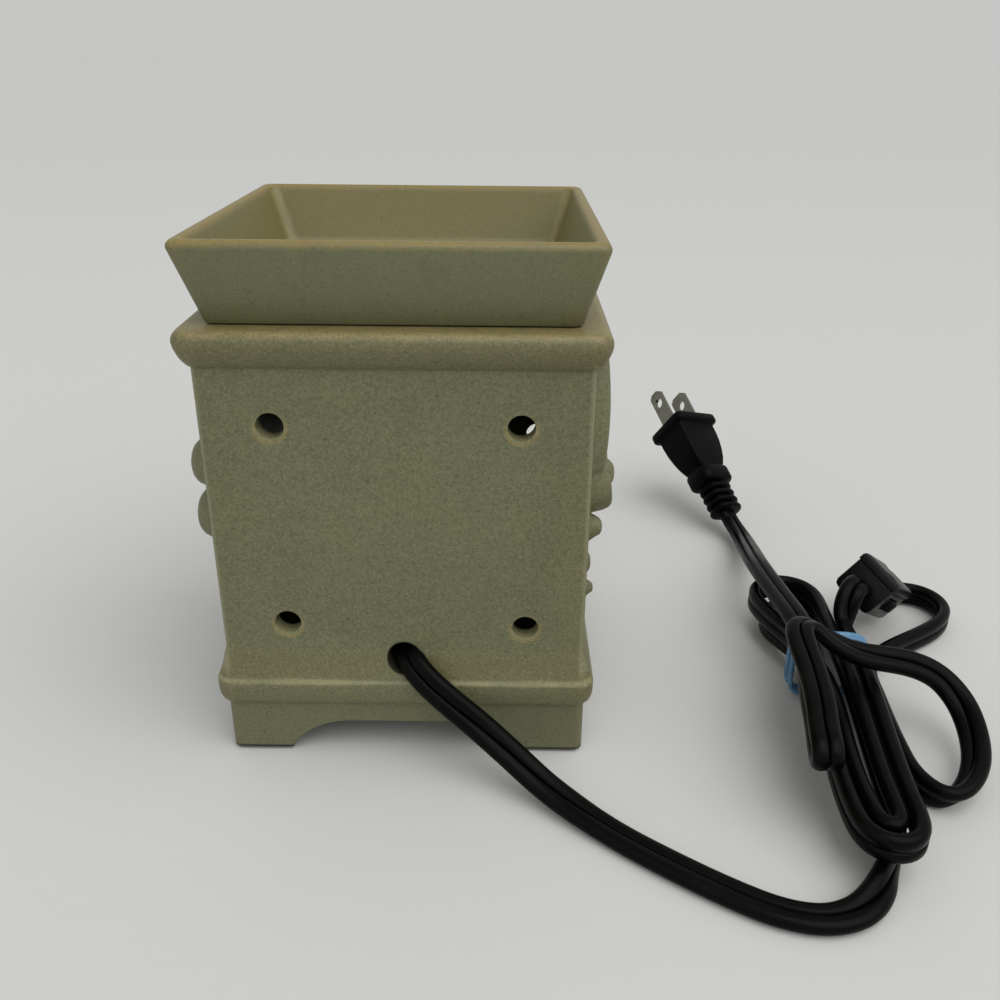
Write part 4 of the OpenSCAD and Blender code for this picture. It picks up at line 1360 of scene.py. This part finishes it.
@dataclass
class Switch:
    """The rotary switch on the cord: base, lid, toothed wheel and what is inside."""

    wardrobe: Wardrobe
    length: float = SWITCH_LENGTH
    width: float = 14.0
    low: float = -7.0
    seam: float = 4.0
    top: float = 7.0
    foot_round: float = 1.8
    lid_round: float = 1.3
    wheel_r: float = 9.0
    wheel_z: float = -0.5
    wheel_t: float = 4.0
    bore: float = 1.55
    slot_gap: Flat = (0.5, 0.8)
    teeth: int = 8
    tooth: float = 1.6
    tooth_steps: int = 18
    ledge: float = 0.35
    well_r: float = 1.8
    well_at: Flat = (10.6, 3.4)
    well_depth: float = 1.4
    look: Moulded = Moulded("switch_plastic", paint(9, 9, 8), paint(28, 28, 26), 0.38, 2600.0, 0.00006, 0.16)

    @property
    def place(self) -> Matrix:
        """From the switch's middle to the part's frame."""
        return SWITCH_SEAT.matrix @ Matrix.Translation((self.length / 2, 0, 0))

    def settle(self, piece: bpy.types.Object, edge: float, node: str) -> bpy.types.Object:
        """Rounds a moulding's edges, sets it in its place and dresses it.

        Args:
            piece: The moulding, with the switch's middle at the origin.
            edge: Width of the rounding.
            node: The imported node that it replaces.

        Returns:
            The piece.
        """
        soften(piece, edge, 3, 40.0)
        piece.data.transform(Matrix.Scale(MM, 4) @ self.place @ Matrix.Scale(1 / MM, 4))
        return self.wardrobe.dress(piece, self.look, Body.HOUSING, Slot.BLACK_PLASTIC, (node,))

    def case(self) -> bpy.types.Object:
        """The base, cut for the wheel.

        Returns:
            The piece.
        """
        size = (self.length, self.width, self.seam - self.low)
        form = Form().block(size, (0, 0, (self.seam + self.low) / 2)).round_level(self.low, self.foot_round)
        base = form.raw("switch_case")
        wide, tall = self.slot_gap
        slot = Matrix.Translation((0, 0, self.wheel_z))
        carve(base, Form().rod(self.wheel_r + wide, self.wheel_t + tall, slot, 64).raw("slot"))
        return self.settle(base, 0.45, "switch_base")

    def lid(self) -> bpy.types.Object:
        """The lid, with its screw wells.

        Returns:
            The piece.
        """
        size = (self.length + 2 * self.ledge, self.width + 2 * self.ledge, self.top - self.seam)
        form = Form().block(size, (0, 0, (self.top + self.seam) / 2)).round_level(self.top, self.lid_round)
        lid = form.raw("switch_lid")
        wells = Form()
        (x, y), z = self.well_at, self.top - self.well_depth + 1.5
        for s in (-1, 1):
            wells.rod(self.well_r, 3.0, Matrix.Translation((s * x, s * y, z)), 32)
        carve(lid, wells.raw("wells"))
        return self.settle(lid, 0.35, "switch_cover")

    def wheel(self) -> bpy.types.Object:
        """The toothed thumb wheel.

        Returns:
            The piece.
        """
        t, r = self.wheel_t / 2, self.wheel_r
        rim = [(r - 0.7, t), (r - 0.2, t - 0.25), (r, t - 0.7)]
        profile = [(self.bore, -t), *((a, -z) for a, z in rim), *reversed(rim), (self.bore, t)]
        form = Form().lathe(profile, self.teeth * self.tooth_steps, closed=True)
        for v in form.bm.verts:
            reach = math.hypot(v.co.x, v.co.y)
            dip = smooth_step(-0.35, 0.15, -math.cos(self.teeth * math.atan2(v.co.y, v.co.x)))
            pull = 1 - self.tooth * dip * smooth_step(r - 1.2, r - 0.3, reach) / max(reach, 0.1)
            v.co.x, v.co.y = v.co.x * pull, v.co.y * pull
        piece = form.place(self.place @ Matrix.Translation((0, 0, self.wheel_z))).raw("switch_thumb_wheel")
        return self.wardrobe.dress(piece, self.look, Body.WHEEL, Slot.BLACK_PLASTIC, ("switch_wheel",), 50.0)

    def build(self) -> list[bpy.types.Object]:
        """Makes the switch.

        Returns:
            Its pieces.
        """
        made = [self.case(), self.lid(), self.wheel()]
        steel = Plated("screw_steel", paint(176, 176, 172), paint(120, 118, 112), 0.32)
        brass = Plated("contact_brass", paint(196, 160, 88), paint(140, 108, 60), 0.34)
        made += [self.wardrobe.paint_node(n, steel) for n in ("switch_pin", "switch_screws")]
        made.append(self.wardrobe.paint_node("switch_contacts", brass))
        return made


@dataclass
class Plug:
    """The two-blade plug with its ribbed neck."""

    wardrobe: Wardrobe
    neck: float = 13.0
    ribs: int = 4
    collar: float = 7.0
    grip: float = 20.0
    flange: float = 3.5
    look: Moulded = Moulded("plug_vinyl", paint(4, 4, 4), paint(14, 14, 13), 0.42, 1800.0, 0.00006, 0.06)

    def rings(self) -> list[Ring]:
        """The body's rings along its axis.

        Returns:
            The rings from the neck to the face that the blades leave.
        """
        rows: list[Ring] = []
        pitch = self.neck / self.ribs
        for i in range(self.ribs):
            x = i * pitch
            rows += [Ring(5.6, 4.4, x, 4.3), Ring(6.5, 5.3, x + 0.35, 5.2), Ring(6.7, 5.5, x + 0.9, 5.4),
                     Ring(6.5, 5.3, x + 1.6, 5.2), Ring(5.6, 4.4, x + 1.95, 4.3),
                     Ring(4.7, 3.4, x + 2.1, 3.3), Ring(4.7, 3.4, x + pitch - 0.1, 3.3)]
        c, g = self.neck, self.neck + self.collar
        rows += [Ring(6.6, 5.0, c, 3.6), Ring(7.6, 5.9, c + 0.4, 4.0), Ring(8.0, 6.3, c + 1.2, 4.0),
                 Ring(8.0, 6.3, g - 1.4, 4.0), Ring(7.5, 5.9, g - 0.5, 3.6), Ring(6.6, 5.1, g, 3.0)]
        rows += [Ring(6.9, 5.3, g + 1.2, 1.6), Ring(7.9, 5.8, g + 4, 1.2), Ring(8.7, 6.3, g + 7.5, 1.0),
                 Ring(9.3, 6.7, g + 11.5, 0.9), Ring(9.6, 6.9, g + 15.5, 0.9),
                 Ring(9.6, 7.0, g + self.grip - 0.6, 0.9)]
        f = g + self.grip
        e = f + self.flange
        rows += [Ring(9.9, 7.4, f - 0.2, 1.9), Ring(10.5, 9.0, f, 2.4), Ring(10.9, 9.4, f + 0.3, 2.6),
                 Ring(11.0, 9.5, f + 0.8, 2.6), Ring(11.0, 9.5, e - 0.7, 2.6), Ring(10.8, 9.3, e - 0.2, 2.5),
                 Ring(10.3, 8.8, e, 2.2)]
        return rows

    def build(self) -> list[bpy.types.Object]:
        """Makes the plug.

        Returns:
            Its pieces.
        """
        turn = Matrix(((0, 0, 1, 0), (1, 0, 0, 0), (0, 1, 0, 0), (0, 0, 0, 1)))
        body = Form().loft(self.rings(), 5).place(PLUG_SEAT.matrix @ turn).raw("plug_moulding")
        self.wardrobe.dress(body, self.look, Body.HOUSING, Slot.BLACK_PLASTIC, ("plug_body",), 50.0)
        nickel = Plated("blade_nickel", paint(124, 122, 112), paint(92, 89, 78), 0.26, (2.0, 2.0, 2.0))
        blades = ("plug_blade_hot", "plug_blade_neutral")
        return [body] + [self.wardrobe.paint_node(n, nickel) for n in blades]


@dataclass
class Tie:
    """The blue tie, wound twice round the hank's waist."""

    wardrobe: Wardrobe
    centre: Point = (-119.6, 19.0, 10.4)
    half_w: float = 10.6
    half_h: float = 9.3
    squareness: float = 4.6
    steps: int = 64
    strand: Flat = (1.0, 0.72)
    turns: tuple[Point, ...] = ((1.15, 0.6, 0.0), (-1.15, -0.6, 0.1))
    look: TieSkin = TieSkin("tie_plastic")

    def loop(self, offset: float, lean: float, grow: float) -> list[Row]:
        """One turn of the tie.

        Args:
            offset: Place along the hank.
            lean: How far the turn drifts along the hank between its two sides.
            grow: How far it stands out past the other turn.

        Returns:
            The turn's rows.
        """
        w, h = self.half_w + grow, self.half_h + grow
        outline: list[Flat] = []
        for i in range(self.steps):
            c, s = math.cos(math.tau * i / self.steps), math.sin(math.tau * i / self.steps)
            reach = (abs(c) ** self.squareness + abs(s) ** self.squareness) ** (-1 / self.squareness)
            outline.append((w * c * reach, h * s * reach))
        cx, cy, cz = self.centre
        return [(Vector((cx + x, cy + offset + lean * x / w, cz + z)), Vector(ASIDE)) for x, z in outline]

    def build(self) -> list[bpy.types.Object]:
        """Makes the tie.

        Returns:
            Its piece, in a list.
        """
        form = Form()
        section = oval(self.strand, 16)
        for turn in self.turns:
            form.sweep(self.loop(*turn), section, loop=True)
        piece = form.raw("cord_tie_band")
        return [self.wardrobe.dress(piece, self.look, Body.HOUSING, Slot.TIE, ("cord_tie",), 60.0)]


BACK_VENTS = ((29.1, 39.6, 3.3), (29.1, 92.4, 3.3), (-29.1, 92.4, 3.3), (-30.9, 38.6, 3.3))
CORD_HOLE = (0.0, 29.7, 4.2)


@dataclass
class Housing:
    """The glazed housing: arched plinth, base roll, panels with relief, and cornice."""

    wardrobe: Wardrobe
    half: float = 46.0
    plinth: float = 46.8
    cavity: float = 41.5
    mouth: float = 38.5
    height: float = 115.2
    floor_low: float = 15.7
    floor_top: float = 20.2
    base_top: float = 31.9
    panel_top: float = 106.4
    lip: float = 6.0
    floor_hole: float = 19.0
    pierced: float = 3.5
    drill: float = 14.0
    arch_half: float = 30.6
    arch_top: float = 9.8
    arch_reach: float = 15.6
    arch_drop: float = 7.8
    pad_at: float = 42.4
    side_rise: float = 4.8
    front_rise: float = 2.8
    relief_grid: tuple[int, int] = (104, 86)
    relief_sheet: float = 0.6
    relief_bare: float = -1.7
    relief_sunk: float = -0.9
    relief_hidden: float = 0.06
    glaze: Glaze = Glaze(
        "glaze_housing", bands=((114.9, 1.8, 0.6),), corner_share=0.1, highlight_and_brown_share=0.5,
        stains=((110.6, 5.4, 0.46), (27.6, 5.0, 0.5), (18.0, 4.6, 0.24)), ridge_glaze_and_highlights=((23.3, 1.1, 0.55),),
        # The cord hole's inner wall gets painted shade.
        holes=BACK_VENTS, shaded_hole=CORD_HOLE)
    left_scrolls: tuple[tuple[float, ...], ...] = (
        (41.5, 19, 36, 3.4, 146, 194, 1.05), (13, 7, 6.4, 3.6, 172, 393, 1.65))
    right_scrolls: tuple[tuple[float, ...], ...] = (
        (27, -18, 20, 3.2, 95, 200, 1.0), (22, 16, 11, 3, 30, 205, 1.0))
    left_beads: tuple[tuple[float, ...], ...] = (
        (13, 7, 4.6, 1.45), (6, -4.5, 3, 1.2), (8, -23, 2, 1.2), (31, -28, 4, 0.95))
    right_beads: tuple[tuple[float, ...], ...] = (
        (8.5, 11, 6.2, 0.94), (8.5, -2.6, 6.6, 0.94), (26, 1, 4.6, 0.94), (14, -21, 4, 0.94))
    left_pierced: tuple[Flat, ...] = ((10, -11.5), (31, -12), (29, 17))
    right_pierced: tuple[Flat, ...] = ((14.5, -12), (30, -12), (24, 17))

    @property
    def middle(self) -> float:
        """Middle height of the panels."""
        return (self.base_top + self.panel_top) / 2

    def holes(self) -> list[Flat]:
        """Places of the pierced holes on a relief face, across it and up."""
        found = [(s - self.half, self.middle + z) for s, z in self.left_pierced]
        return found + [(self.half - s, self.middle + z) for s, z in self.right_pierced]

    def rings(self) -> list[Ring]:
        """The shell's rings, from under the floor, round the outside, and down to the floor inside.

        Returns:
            The rings.
        """
        rows: list[Point] = [
            (self.cavity, self.floor_low, 3.0), (self.cavity, 1.0, 3.0), (self.plinth, 1.0, 2.4),
            (self.plinth, 14.9, 2.4), (self.plinth + 0.1, 15.45, 2.4)]
        face = [(0.95, 15.7), (1.9, 16.1), (2.55, 17.0), (2.9, 18.3), (3.05, 19.8), (3.05, 22.4),
                (2.95, 22.9), (2.7, 23.3)]
        slope = [(2.15, 24.7), (1.55, 26.5), (1.0, 28.5), (0.55, 30.1), (0.2, 31.1), (0.0, self.base_top)]
        crown = [(0.0, -0.1), (0.55, 0.1), (1.1, 0.6), (1.8, 1.5), (2.4, 2.5), (2.9, 3.6), (3.25, 4.7),
                 (3.4, 5.8), (3.3, 6.8), (2.95, 7.6), (2.3, 8.3), (1.5, 8.7), (0.6, 8.8)]
        rows += [(self.half + w, z, 4.4) for w, z in face]
        rows += [(self.half + w, z, lerp(4.0, 1.6, i / 5)) for i, (w, z) in enumerate(slope)]
        for i, (w, z) in enumerate(crown):
            rows.append((self.half + w, self.panel_top + z, lerp(1.6, 4.2, min(1.0, i / 5))))
        ledge = self.height - self.lip
        rows += [(self.mouth, self.height, 1.6), (self.mouth, ledge, 1.6), (self.cavity, ledge, 3.0),
                 (self.cavity, self.floor_top, 3.0)]
        return [Ring(w, w, z, r) for w, z, r in rows]

    def cutters(self) -> Form:
        """Everything that is cut from the shell: vents, cord hole, pierced holes and the floor's hole.

        Returns:
            The cutters in one form.
        """
        form = Form()
        back = Matrix.Rotation(math.pi / 2, 4, "X")
        for x, z, r in (*BACK_VENTS, CORD_HOLE):
            form.rod(r, self.drill, Matrix.Translation((x, self.half - 2.0, z)) @ back)
        for turn in (0, 90, -90):
            for s, z in self.holes():
                place = about_z(turn) @ Matrix.Translation((s, -self.half + 2.0, z)) @ back
                form.rod(self.pierced, self.drill, place)
        floor = Matrix.Translation((0, 0, (self.floor_low + self.floor_top) / 2))
        form.rod(self.floor_hole, 8.0, floor, 72)
        return form

    def arch(self, turn: float) -> Form:
        """The cutter of the two arches across the plinth.

        Args:
            turn: Its turn about Z in degrees.

        Returns:
            The cutter.
        """
        form = Form()
        half, reach, drop = self.arch_half, self.arch_reach, self.arch_drop
        radius = (reach ** 2 + drop ** 2) / (2 * drop)
        start = math.degrees(math.acos(reach / radius))
        right = [(half, -2.0)] + arc((half - reach, self.arch_top - radius), (radius, radius), start, 90, 14)
        outline = right + [(-x, z) for x, z in reversed(right)]
        face = form.bm.faces.new([form.bm.verts.new((x, -60, z)) for x, z in outline])
        moved = bmesh.ops.extrude_face_region(form.bm, geom=[face])["geom"]
        ahead = [g for g in moved if isinstance(g, bmesh.types.BMVert)]
        bmesh.ops.translate(form.bm, vec=(0, 120, 0), verts=ahead)
        bmesh.ops.recalc_face_normals(form.bm, faces=form.bm.faces)
        return form.place(about_z(turn))

    def height_at(self, s: float, z: float, rise: float) -> float:
        """How far the relief stands out at a place on a face.

        Args:
            s: Place across the face, from its middle.
            z: Height.
            rise: How far the relief's highest forms stand out.

        Returns:
            The height above the panel, below zero where there is none.
        """
        best = self.relief_bare
        for scrolls, sign in ((self.left_scrolls, 1), (self.right_scrolls, -1)):
            for place, up, curve, roll, a0, a1, lift in scrolls:
                cx, cz = (place - self.half) * sign, self.middle + up
                angle = math.degrees(math.atan2(z - cz, s - cx))
                angle += 360 * math.ceil((a0 - angle) / 360)
                if angle > a1:
                    angle = a1 if angle - a1 < a0 + 360 - angle else a0
                t = (angle - a0) / (a1 - a0)
                full = math.sin(math.pi * t)
                a = math.radians(angle)
                away = math.hypot(s - cx - curve * math.cos(a), z - cz - curve * math.sin(a))
                thick, tall = roll * (0.72 + 0.28 * full), rise * lift * (0.66 + 0.14 * full)
                best = self.join(best, self.dome(away, thick, tall))
        for beads, sign in ((self.left_beads, 1), (self.right_beads, -1)):
            for place, up, r, lift in beads:
                away = math.hypot(s - (place - self.half) * sign, z - self.middle - up)
                best = self.join(best, self.dome(away, r, min(rise, r) * lift))
        return best

    @staticmethod
    def dome(away: float, radius: float, rise: float) -> float:
        """Height of a round roll or bead at a distance from its middle."""
        share = min(1.0, away / radius)
        return rise * math.sqrt(1 - share ** 3) - max(0.0, away - radius) * 2.2

    @staticmethod
    def join(a: float, b: float, blend: float = 1.3) -> float:
        """The higher of two heights, with a soft valley between them."""
        near = max(blend - abs(a - b), 0.0)
        return max(a, b) + near * near / (4 * blend)

    def from_hole(self, s: float, z: float) -> float:
        """Distance from the nearest pierced hole's middle."""
        return min(math.hypot(s - hs, z - hz) for hs, hz in self.holes())

    def relief(self, name: str, turn: float, rise: float) -> None:
        """Makes the relief of one face.

        Args:
            name: The piece's name.
            turn: The face's turn from the front, in degrees.
            rise: How far its highest forms stand out.
        """
        form = Form()
        bm = form.bm
        across, low, high = self.half - 1.2, self.base_top + 1.0, self.panel_top + 3.0
        columns, levels = self.relief_grid
        bmesh.ops.create_grid(bm, x_segments=columns, y_segments=levels, size=1.0)
        sunk = self.relief_sunk
        for v in bm.verts:
            s, z = v.co.x * across, lerp(low, high, (v.co.y + 1) / 2)
            tall = self.join(self.height_at(s, z, rise), 0.0, 1.6) - self.relief_hidden
            tall = lerp(sunk, tall, smooth_step(self.pierced + 0.3, self.pierced + 1.8, self.from_hole(s, z)))
            border = min(across - abs(s), z - low, high - z)
            tall = lerp(sunk, tall, smooth_step(0.0, 1.6, border))
            v.co = (s, -self.half - tall, z)
        gone = [f for f in bm.faces if self.from_hole(*f.calc_center_median().xz) < self.pierced + 0.45]
        bmesh.ops.delete(bm, geom=gone, context="FACES")
        bmesh.ops.recalc_face_normals(bm, faces=bm.faces)
        if sum(f.normal.y for f in bm.faces) > 0:
            bmesh.ops.reverse_faces(bm, faces=bm.faces)
        piece = form.place(about_z(turn)).raw(name)
        wall = piece.modifiers.new("wall", "SOLIDIFY")
        wall.thickness = self.relief_sheet * MM
        wall.offset = -1.0
        bpy.context.view_layer.update()
        bake_modifiers(piece)
        self.wardrobe.dress(piece, self.glaze, Body.HOUSING, Slot.GLAZE, (), 70.0)

    def build(self) -> None:
        """Makes the shell, its relief and its pads."""
        shell = Form().loft(self.rings(), 6).raw("housing_shell")
        for turn in (0, 90):
            carve(shell, self.arch(turn).raw("arch"))
        carve(shell, self.cutters().raw("holes"))
        soften(shell, 0.9, 4, 50.0)
        self.wardrobe.dress(shell, self.glaze, Body.HOUSING, Slot.GLAZE, ("body",), 35.0)
        self.relief("relief_front", 0, self.front_rise)
        self.relief("relief_left", 90, self.side_rise)
        self.relief("relief_right", -90, self.side_rise)
        self.pads()

    def pads(self) -> None:
        """Makes the four pads under the feet."""
        form = Form()
        profile = [(0, 0), (2.7, 0), (3.1, 0.2), (3.2, 0.5), (3.2, 1.0), (0, 1.0)]
        for x in (-self.pad_at, self.pad_at):
            for y in (-self.pad_at, self.pad_at):
                before = set(form.bm.verts)
                form.lathe(profile, 32)
                pad = [v for v in form.bm.verts if v not in before]
                bmesh.ops.translate(form.bm, vec=(x, y, 0), verts=pad)
        look = Moulded("pad_rubber", paint(6, 6, 5), paint(16, 15, 14), 0.75, 1400.0, 0.0001, 0.1)
        self.wardrobe.dress(form.raw("foot_pad_set"), look, Body.HOUSING, Slot.PAD, ("foot_pads",))


@dataclass
class Dish:
    """The wax dish that stands on the housing's lip."""

    wardrobe: Wardrobe
    seat: float = 115.4
    rim: float = 134.7
    spigot: float = 37.7
    foot: float = 42.7
    brim: float = 47.8
    wall: float = 3.4
    floor: float = 119.2
    floor_half: float = 38.9
    glaze: Glaze = Glaze(
        "glaze_dish", speck=0.5, tan=paint(134, 110, 42), cream=paint(146, 126, 64),
        bands=((134.9, 2.3, 0.66),), corner=(44.0, 47.0), corner_share=0.24,
        warm_inside=(42.7, 0.2642, 115.4))

    def build(self) -> None:
        """Makes the dish."""
        r = self.wall / 2
        low, inside = self.seat, self.floor_half
        rows: list[Point] = [
            (self.spigot - 0.6, low - 4, 2.4), (self.spigot, low - 3.4, 2.6), (self.spigot, low - 0.4, 2.6),
            (self.spigot + 0.4, low, 2.6), (self.foot - 0.7, low, 2.2), (self.foot - 0.1, low + 0.25, 2.2),
            (self.foot + 0.2, low + 0.8, 2.2)]
        rows += [(w, z, 2.4) for w, z in arc((self.brim - r, self.rim - r), (r, r), -10, 90, 7)]
        inner = self.brim - self.wall
        rows += [(inner + 0.9, self.rim - 0.05, 2.5), (inner + 0.35, self.rim - 0.5, 2.7),
                 (inner, self.rim - r, 3.0), (inside + 1.38, self.floor + 1.5, 3.8),
                 (inside + 1.0, self.floor + 0.6, 3.9), (inside, self.floor, 3.6)]
        piece = Form().loft([Ring(w, w, z, c) for w, z, c in rows], 6).raw("wax_dish")
        self.wardrobe.dress(piece, self.glaze, Body.DISH, Slot.GLAZE, ("dish",), 35.0)


@dataclass
class LampFitting:
    """What holds the lamp: plate, nipple, nut, strap, holder and cord clamp."""

    wardrobe: Wardrobe

    def build(self) -> None:
        """Makes and dresses the fitting."""
        steel = Plated("fitting_steel", paint(170, 170, 166), paint(126, 120, 108), 0.34)
        brass = Plated("fitting_brass", paint(198, 164, 92), paint(138, 106, 58), 0.32)
        white = Fired("holder_porcelain")
        cream = Fired("clamp_nylon", paint(214, 208, 188), paint(190, 182, 160))
        plate = [(4.9, 14.5), (26.4, 14.5), (27, 14.9), (27, 15.6), (26.8, 15.7), (4.9, 15.7)]
        washer = [(4.9, 13.5), (8.4, 13.5), (8.68, 13.7), (8.68, 14.5), (4.9, 14.5)]
        nipple = self.thread(4.8, 8.0, 26.8, 1.0) + [(3.5, 26.8), (3.5, 8.0)]
        holder = [(4.9, 21.8), (10.6, 21.8), (11, 22.2), (11, 33.4), (10.6, 33.9), (9.5, 34.2), (9.5, 43.3),
                  (9.0, 43.8), (7.2, 43.8), (6.75, 43.3), (6.75, 28.8), (4.9, 28.8)]
        shell = self.thread(6.15, 42.9, 28.9, 2.5, 0.2) + [(6.6, 28.9), (6.6, 42.9)]
        lathes: tuple[tuple[str, str, list[Flat], Finish, Slot], ...] = (
            ("floor_plate", "base_plate", plate, steel, Slot.STEEL),
            ("nut_washer_ring", "nut_washer", washer, steel, Slot.STEEL),
            ("threaded_nipple", "lamp_nipple", nipple, brass, Slot.BRASS),
            ("porcelain_holder", "lamp_holder", holder, white, Slot.PORCELAIN),
            ("holder_thread_shell", "holder_shell", shell, brass, Slot.BRASS),
        )
        for name, node, profile, look, slot in lathes:
            piece = Form().lathe(profile, 56, closed=True).raw(name)
            self.wardrobe.dress(piece, look, Body.HOUSING, slot, (node,), 45.0)
        for node in ("clamp_strap", "terminal_screws", "clamp_screw"):
            self.wardrobe.paint_node(node, steel)
        for node in ("nipple_nut", "holder_contact"):
            self.wardrobe.paint_node(node, brass)
        self.wardrobe.paint_node("cord_clamp", cream)

    @staticmethod
    def thread(radius: float, low: float, high: float, pitch: float, depth: float = 0.15) -> list[Flat]:
        """A thread's rounded profile.

        Args:
            radius: Its middle radius.
            low: First height.
            high: Last height.
            pitch: Height of one turn.
            depth: Half of its depth.

        Returns:
            Points as radius and height.
        """
        steps = max(8, round(abs(high - low) / pitch * 8))
        heights = [lerp(low, high, i / steps) for i in range(steps + 1)]
        return [(radius - depth + depth * math.cos(2 * math.pi * z / pitch), z) for z in heights]


@dataclass
class Bulb:
    """The round heating bulb."""

    wardrobe: Wardrobe
    base: float = 42.6
    ball: float = 73.6
    radius: float = 16.0
    neck: float = 4.95
    glass_t: float = 0.8
    coil_z: float = 68.92
    coil_r: float = 0.36
    coil_steps: int = 420
    coil_span: Flat = (30.0, 150.0)
    wire_r: float = 0.12
    lead_r: float = 0.24

    def outline(self, inset: float) -> list[Flat]:
        """The glass's outline from the neck to the crown.

        Args:
            inset: How far it lies inside the outer face.

        Returns:
            Points as radius and height.
        """
        low = self.base + (self.glass_t if inset else 0.0)
        r = self.radius - inset
        throat = self.neck - inset
        foot = [(0.0, low), (throat - 0.5, low), (throat, low + 0.5), (throat, self.base + 5)]
        return foot + [(max(0.0, a), b) for a, b in arc((0.0, self.ball), (r, r), -38, 90, 26)]

    def envelope(self) -> Form:
        """The hollow glass, with its inner face turned inwards.

        Returns:
            The form.
        """
        glass = Form()
        glass.lathe(self.outline(0.0), 64)
        outer = set(glass.bm.faces)
        glass.lathe(self.outline(self.glass_t), 64)
        bmesh.ops.recalc_face_normals(glass.bm, faces=glass.bm.faces)
        bmesh.ops.reverse_faces(glass.bm, faces=[f for f in glass.bm.faces if f not in outer])
        return glass

    def build(self) -> None:
        """Makes the bulb."""
        stem = [(0, 43.4), (2.4, 43.4), (2.2, 47), (1.5, 57), (1.4, 58.8), (1.1, 59.4), (0, 59.5)]
        cap = ([(0, 31.2), (4.2, 31.2), (5.2, 32.0)] + LampFitting.thread(5.8, 32.4, 41.6, 2.5, 0.24)
               + [(5.75, 42.6), (4.55, 42.6), (4.55, 32.2), (0, 32.2)])
        tip = [(0, 29.6), (1.4, 29.6), (2.0, 29.9), (4.2, 30.9), (4.4, 31.2), (0, 31.2)]
        clear = ClearGlass("bulb_clear_glass")
        metal = Plated("cap_aluminium", paint(190, 184, 166), paint(142, 134, 116), 0.3)
        black = Moulded("tip_insulator", paint(22, 22, 26), paint(60, 58, 56), 0.3, 1200.0, 0.00005)
        pieces: tuple[tuple[str, str, Form, Finish, Slot, float], ...] = (
            ("bulb_envelope", "bulb_glass", self.envelope(), clear, Slot.BULB_GLASS, 60.0),
            ("bulb_glass_stem", "bulb_stem", Form().lathe(stem, 32), clear, Slot.BULB_GLASS, 60.0),
            ("bulb_screw_cap", "bulb_cap", Form().lathe(cap, 56), metal, Slot.CAP, 50.0),
            ("bulb_tip_insulator", "bulb_tip", Form().lathe(tip, 40), black, Slot.TIP, 40.0),
        )
        for name, node, form, look, slot, angle in pieces:
            self.wardrobe.dress(form.raw(name), look, Body.BULB, slot, (node,), angle)
        self.filament()

    def filament(self) -> None:
        """Makes the coiled filament and its two leads."""
        form = Form()
        r, z = self.radius * 0.5, self.coil_z
        coil: list[Row] = []
        for i in range(self.coil_steps):
            turn = math.radians(lerp(*self.coil_span, i / (self.coil_steps - 1)))
            spin = i / 10 * 2 * math.pi
            out = r + self.coil_r * math.cos(spin)
            at = (out * math.cos(turn), out * math.sin(turn), z + self.coil_r * math.sin(spin))
            coil.append((Vector(at), Vector(UP)))
        form.sweep(coil, oval((self.wire_r, self.wire_r), 6))
        section = oval((self.lead_r, self.lead_r), 8)
        for a in self.coil_span:
            c, s = math.cos(math.radians(a)), math.sin(math.radians(a))
            ends = ((0.9, 58.6), (1.6, 61.0), (r, z - 0.2))
            lead = [((reach * c, reach * s, height), (-s, c, 0)) for reach, height in ends]
            form.sweep(Flex.smooth(Flex.rows(lead), 0.8), section)
        look = Plated("filament_wire", paint(150, 148, 144), paint(96, 92, 88), 0.35)
        self.wardrobe.dress(form.raw("bulb_coil"), look, Body.BULB, Slot.FILAMENT, ("bulb_filament",), 60.0)


def main() -> None:
    """Builds the warmer, its cord and the studio."""
    logging.basicConfig(level=logging.INFO, format="%(name)s %(message)s")
    studio = Studio()
    studio.camera()
    wardrobe = Wardrobe()
    switch = Switch(wardrobe).build()
    plug = Plug(wardrobe).build()
    Flex(wardrobe).build(switch + Tie(wardrobe).build(), plug)
    Housing(wardrobe).build()
    Dish(wardrobe).build()
    LampFitting(wardrobe).build()
    Bulb(wardrobe).build()
    studio.stage()


if __name__ == "__main__":
    main()
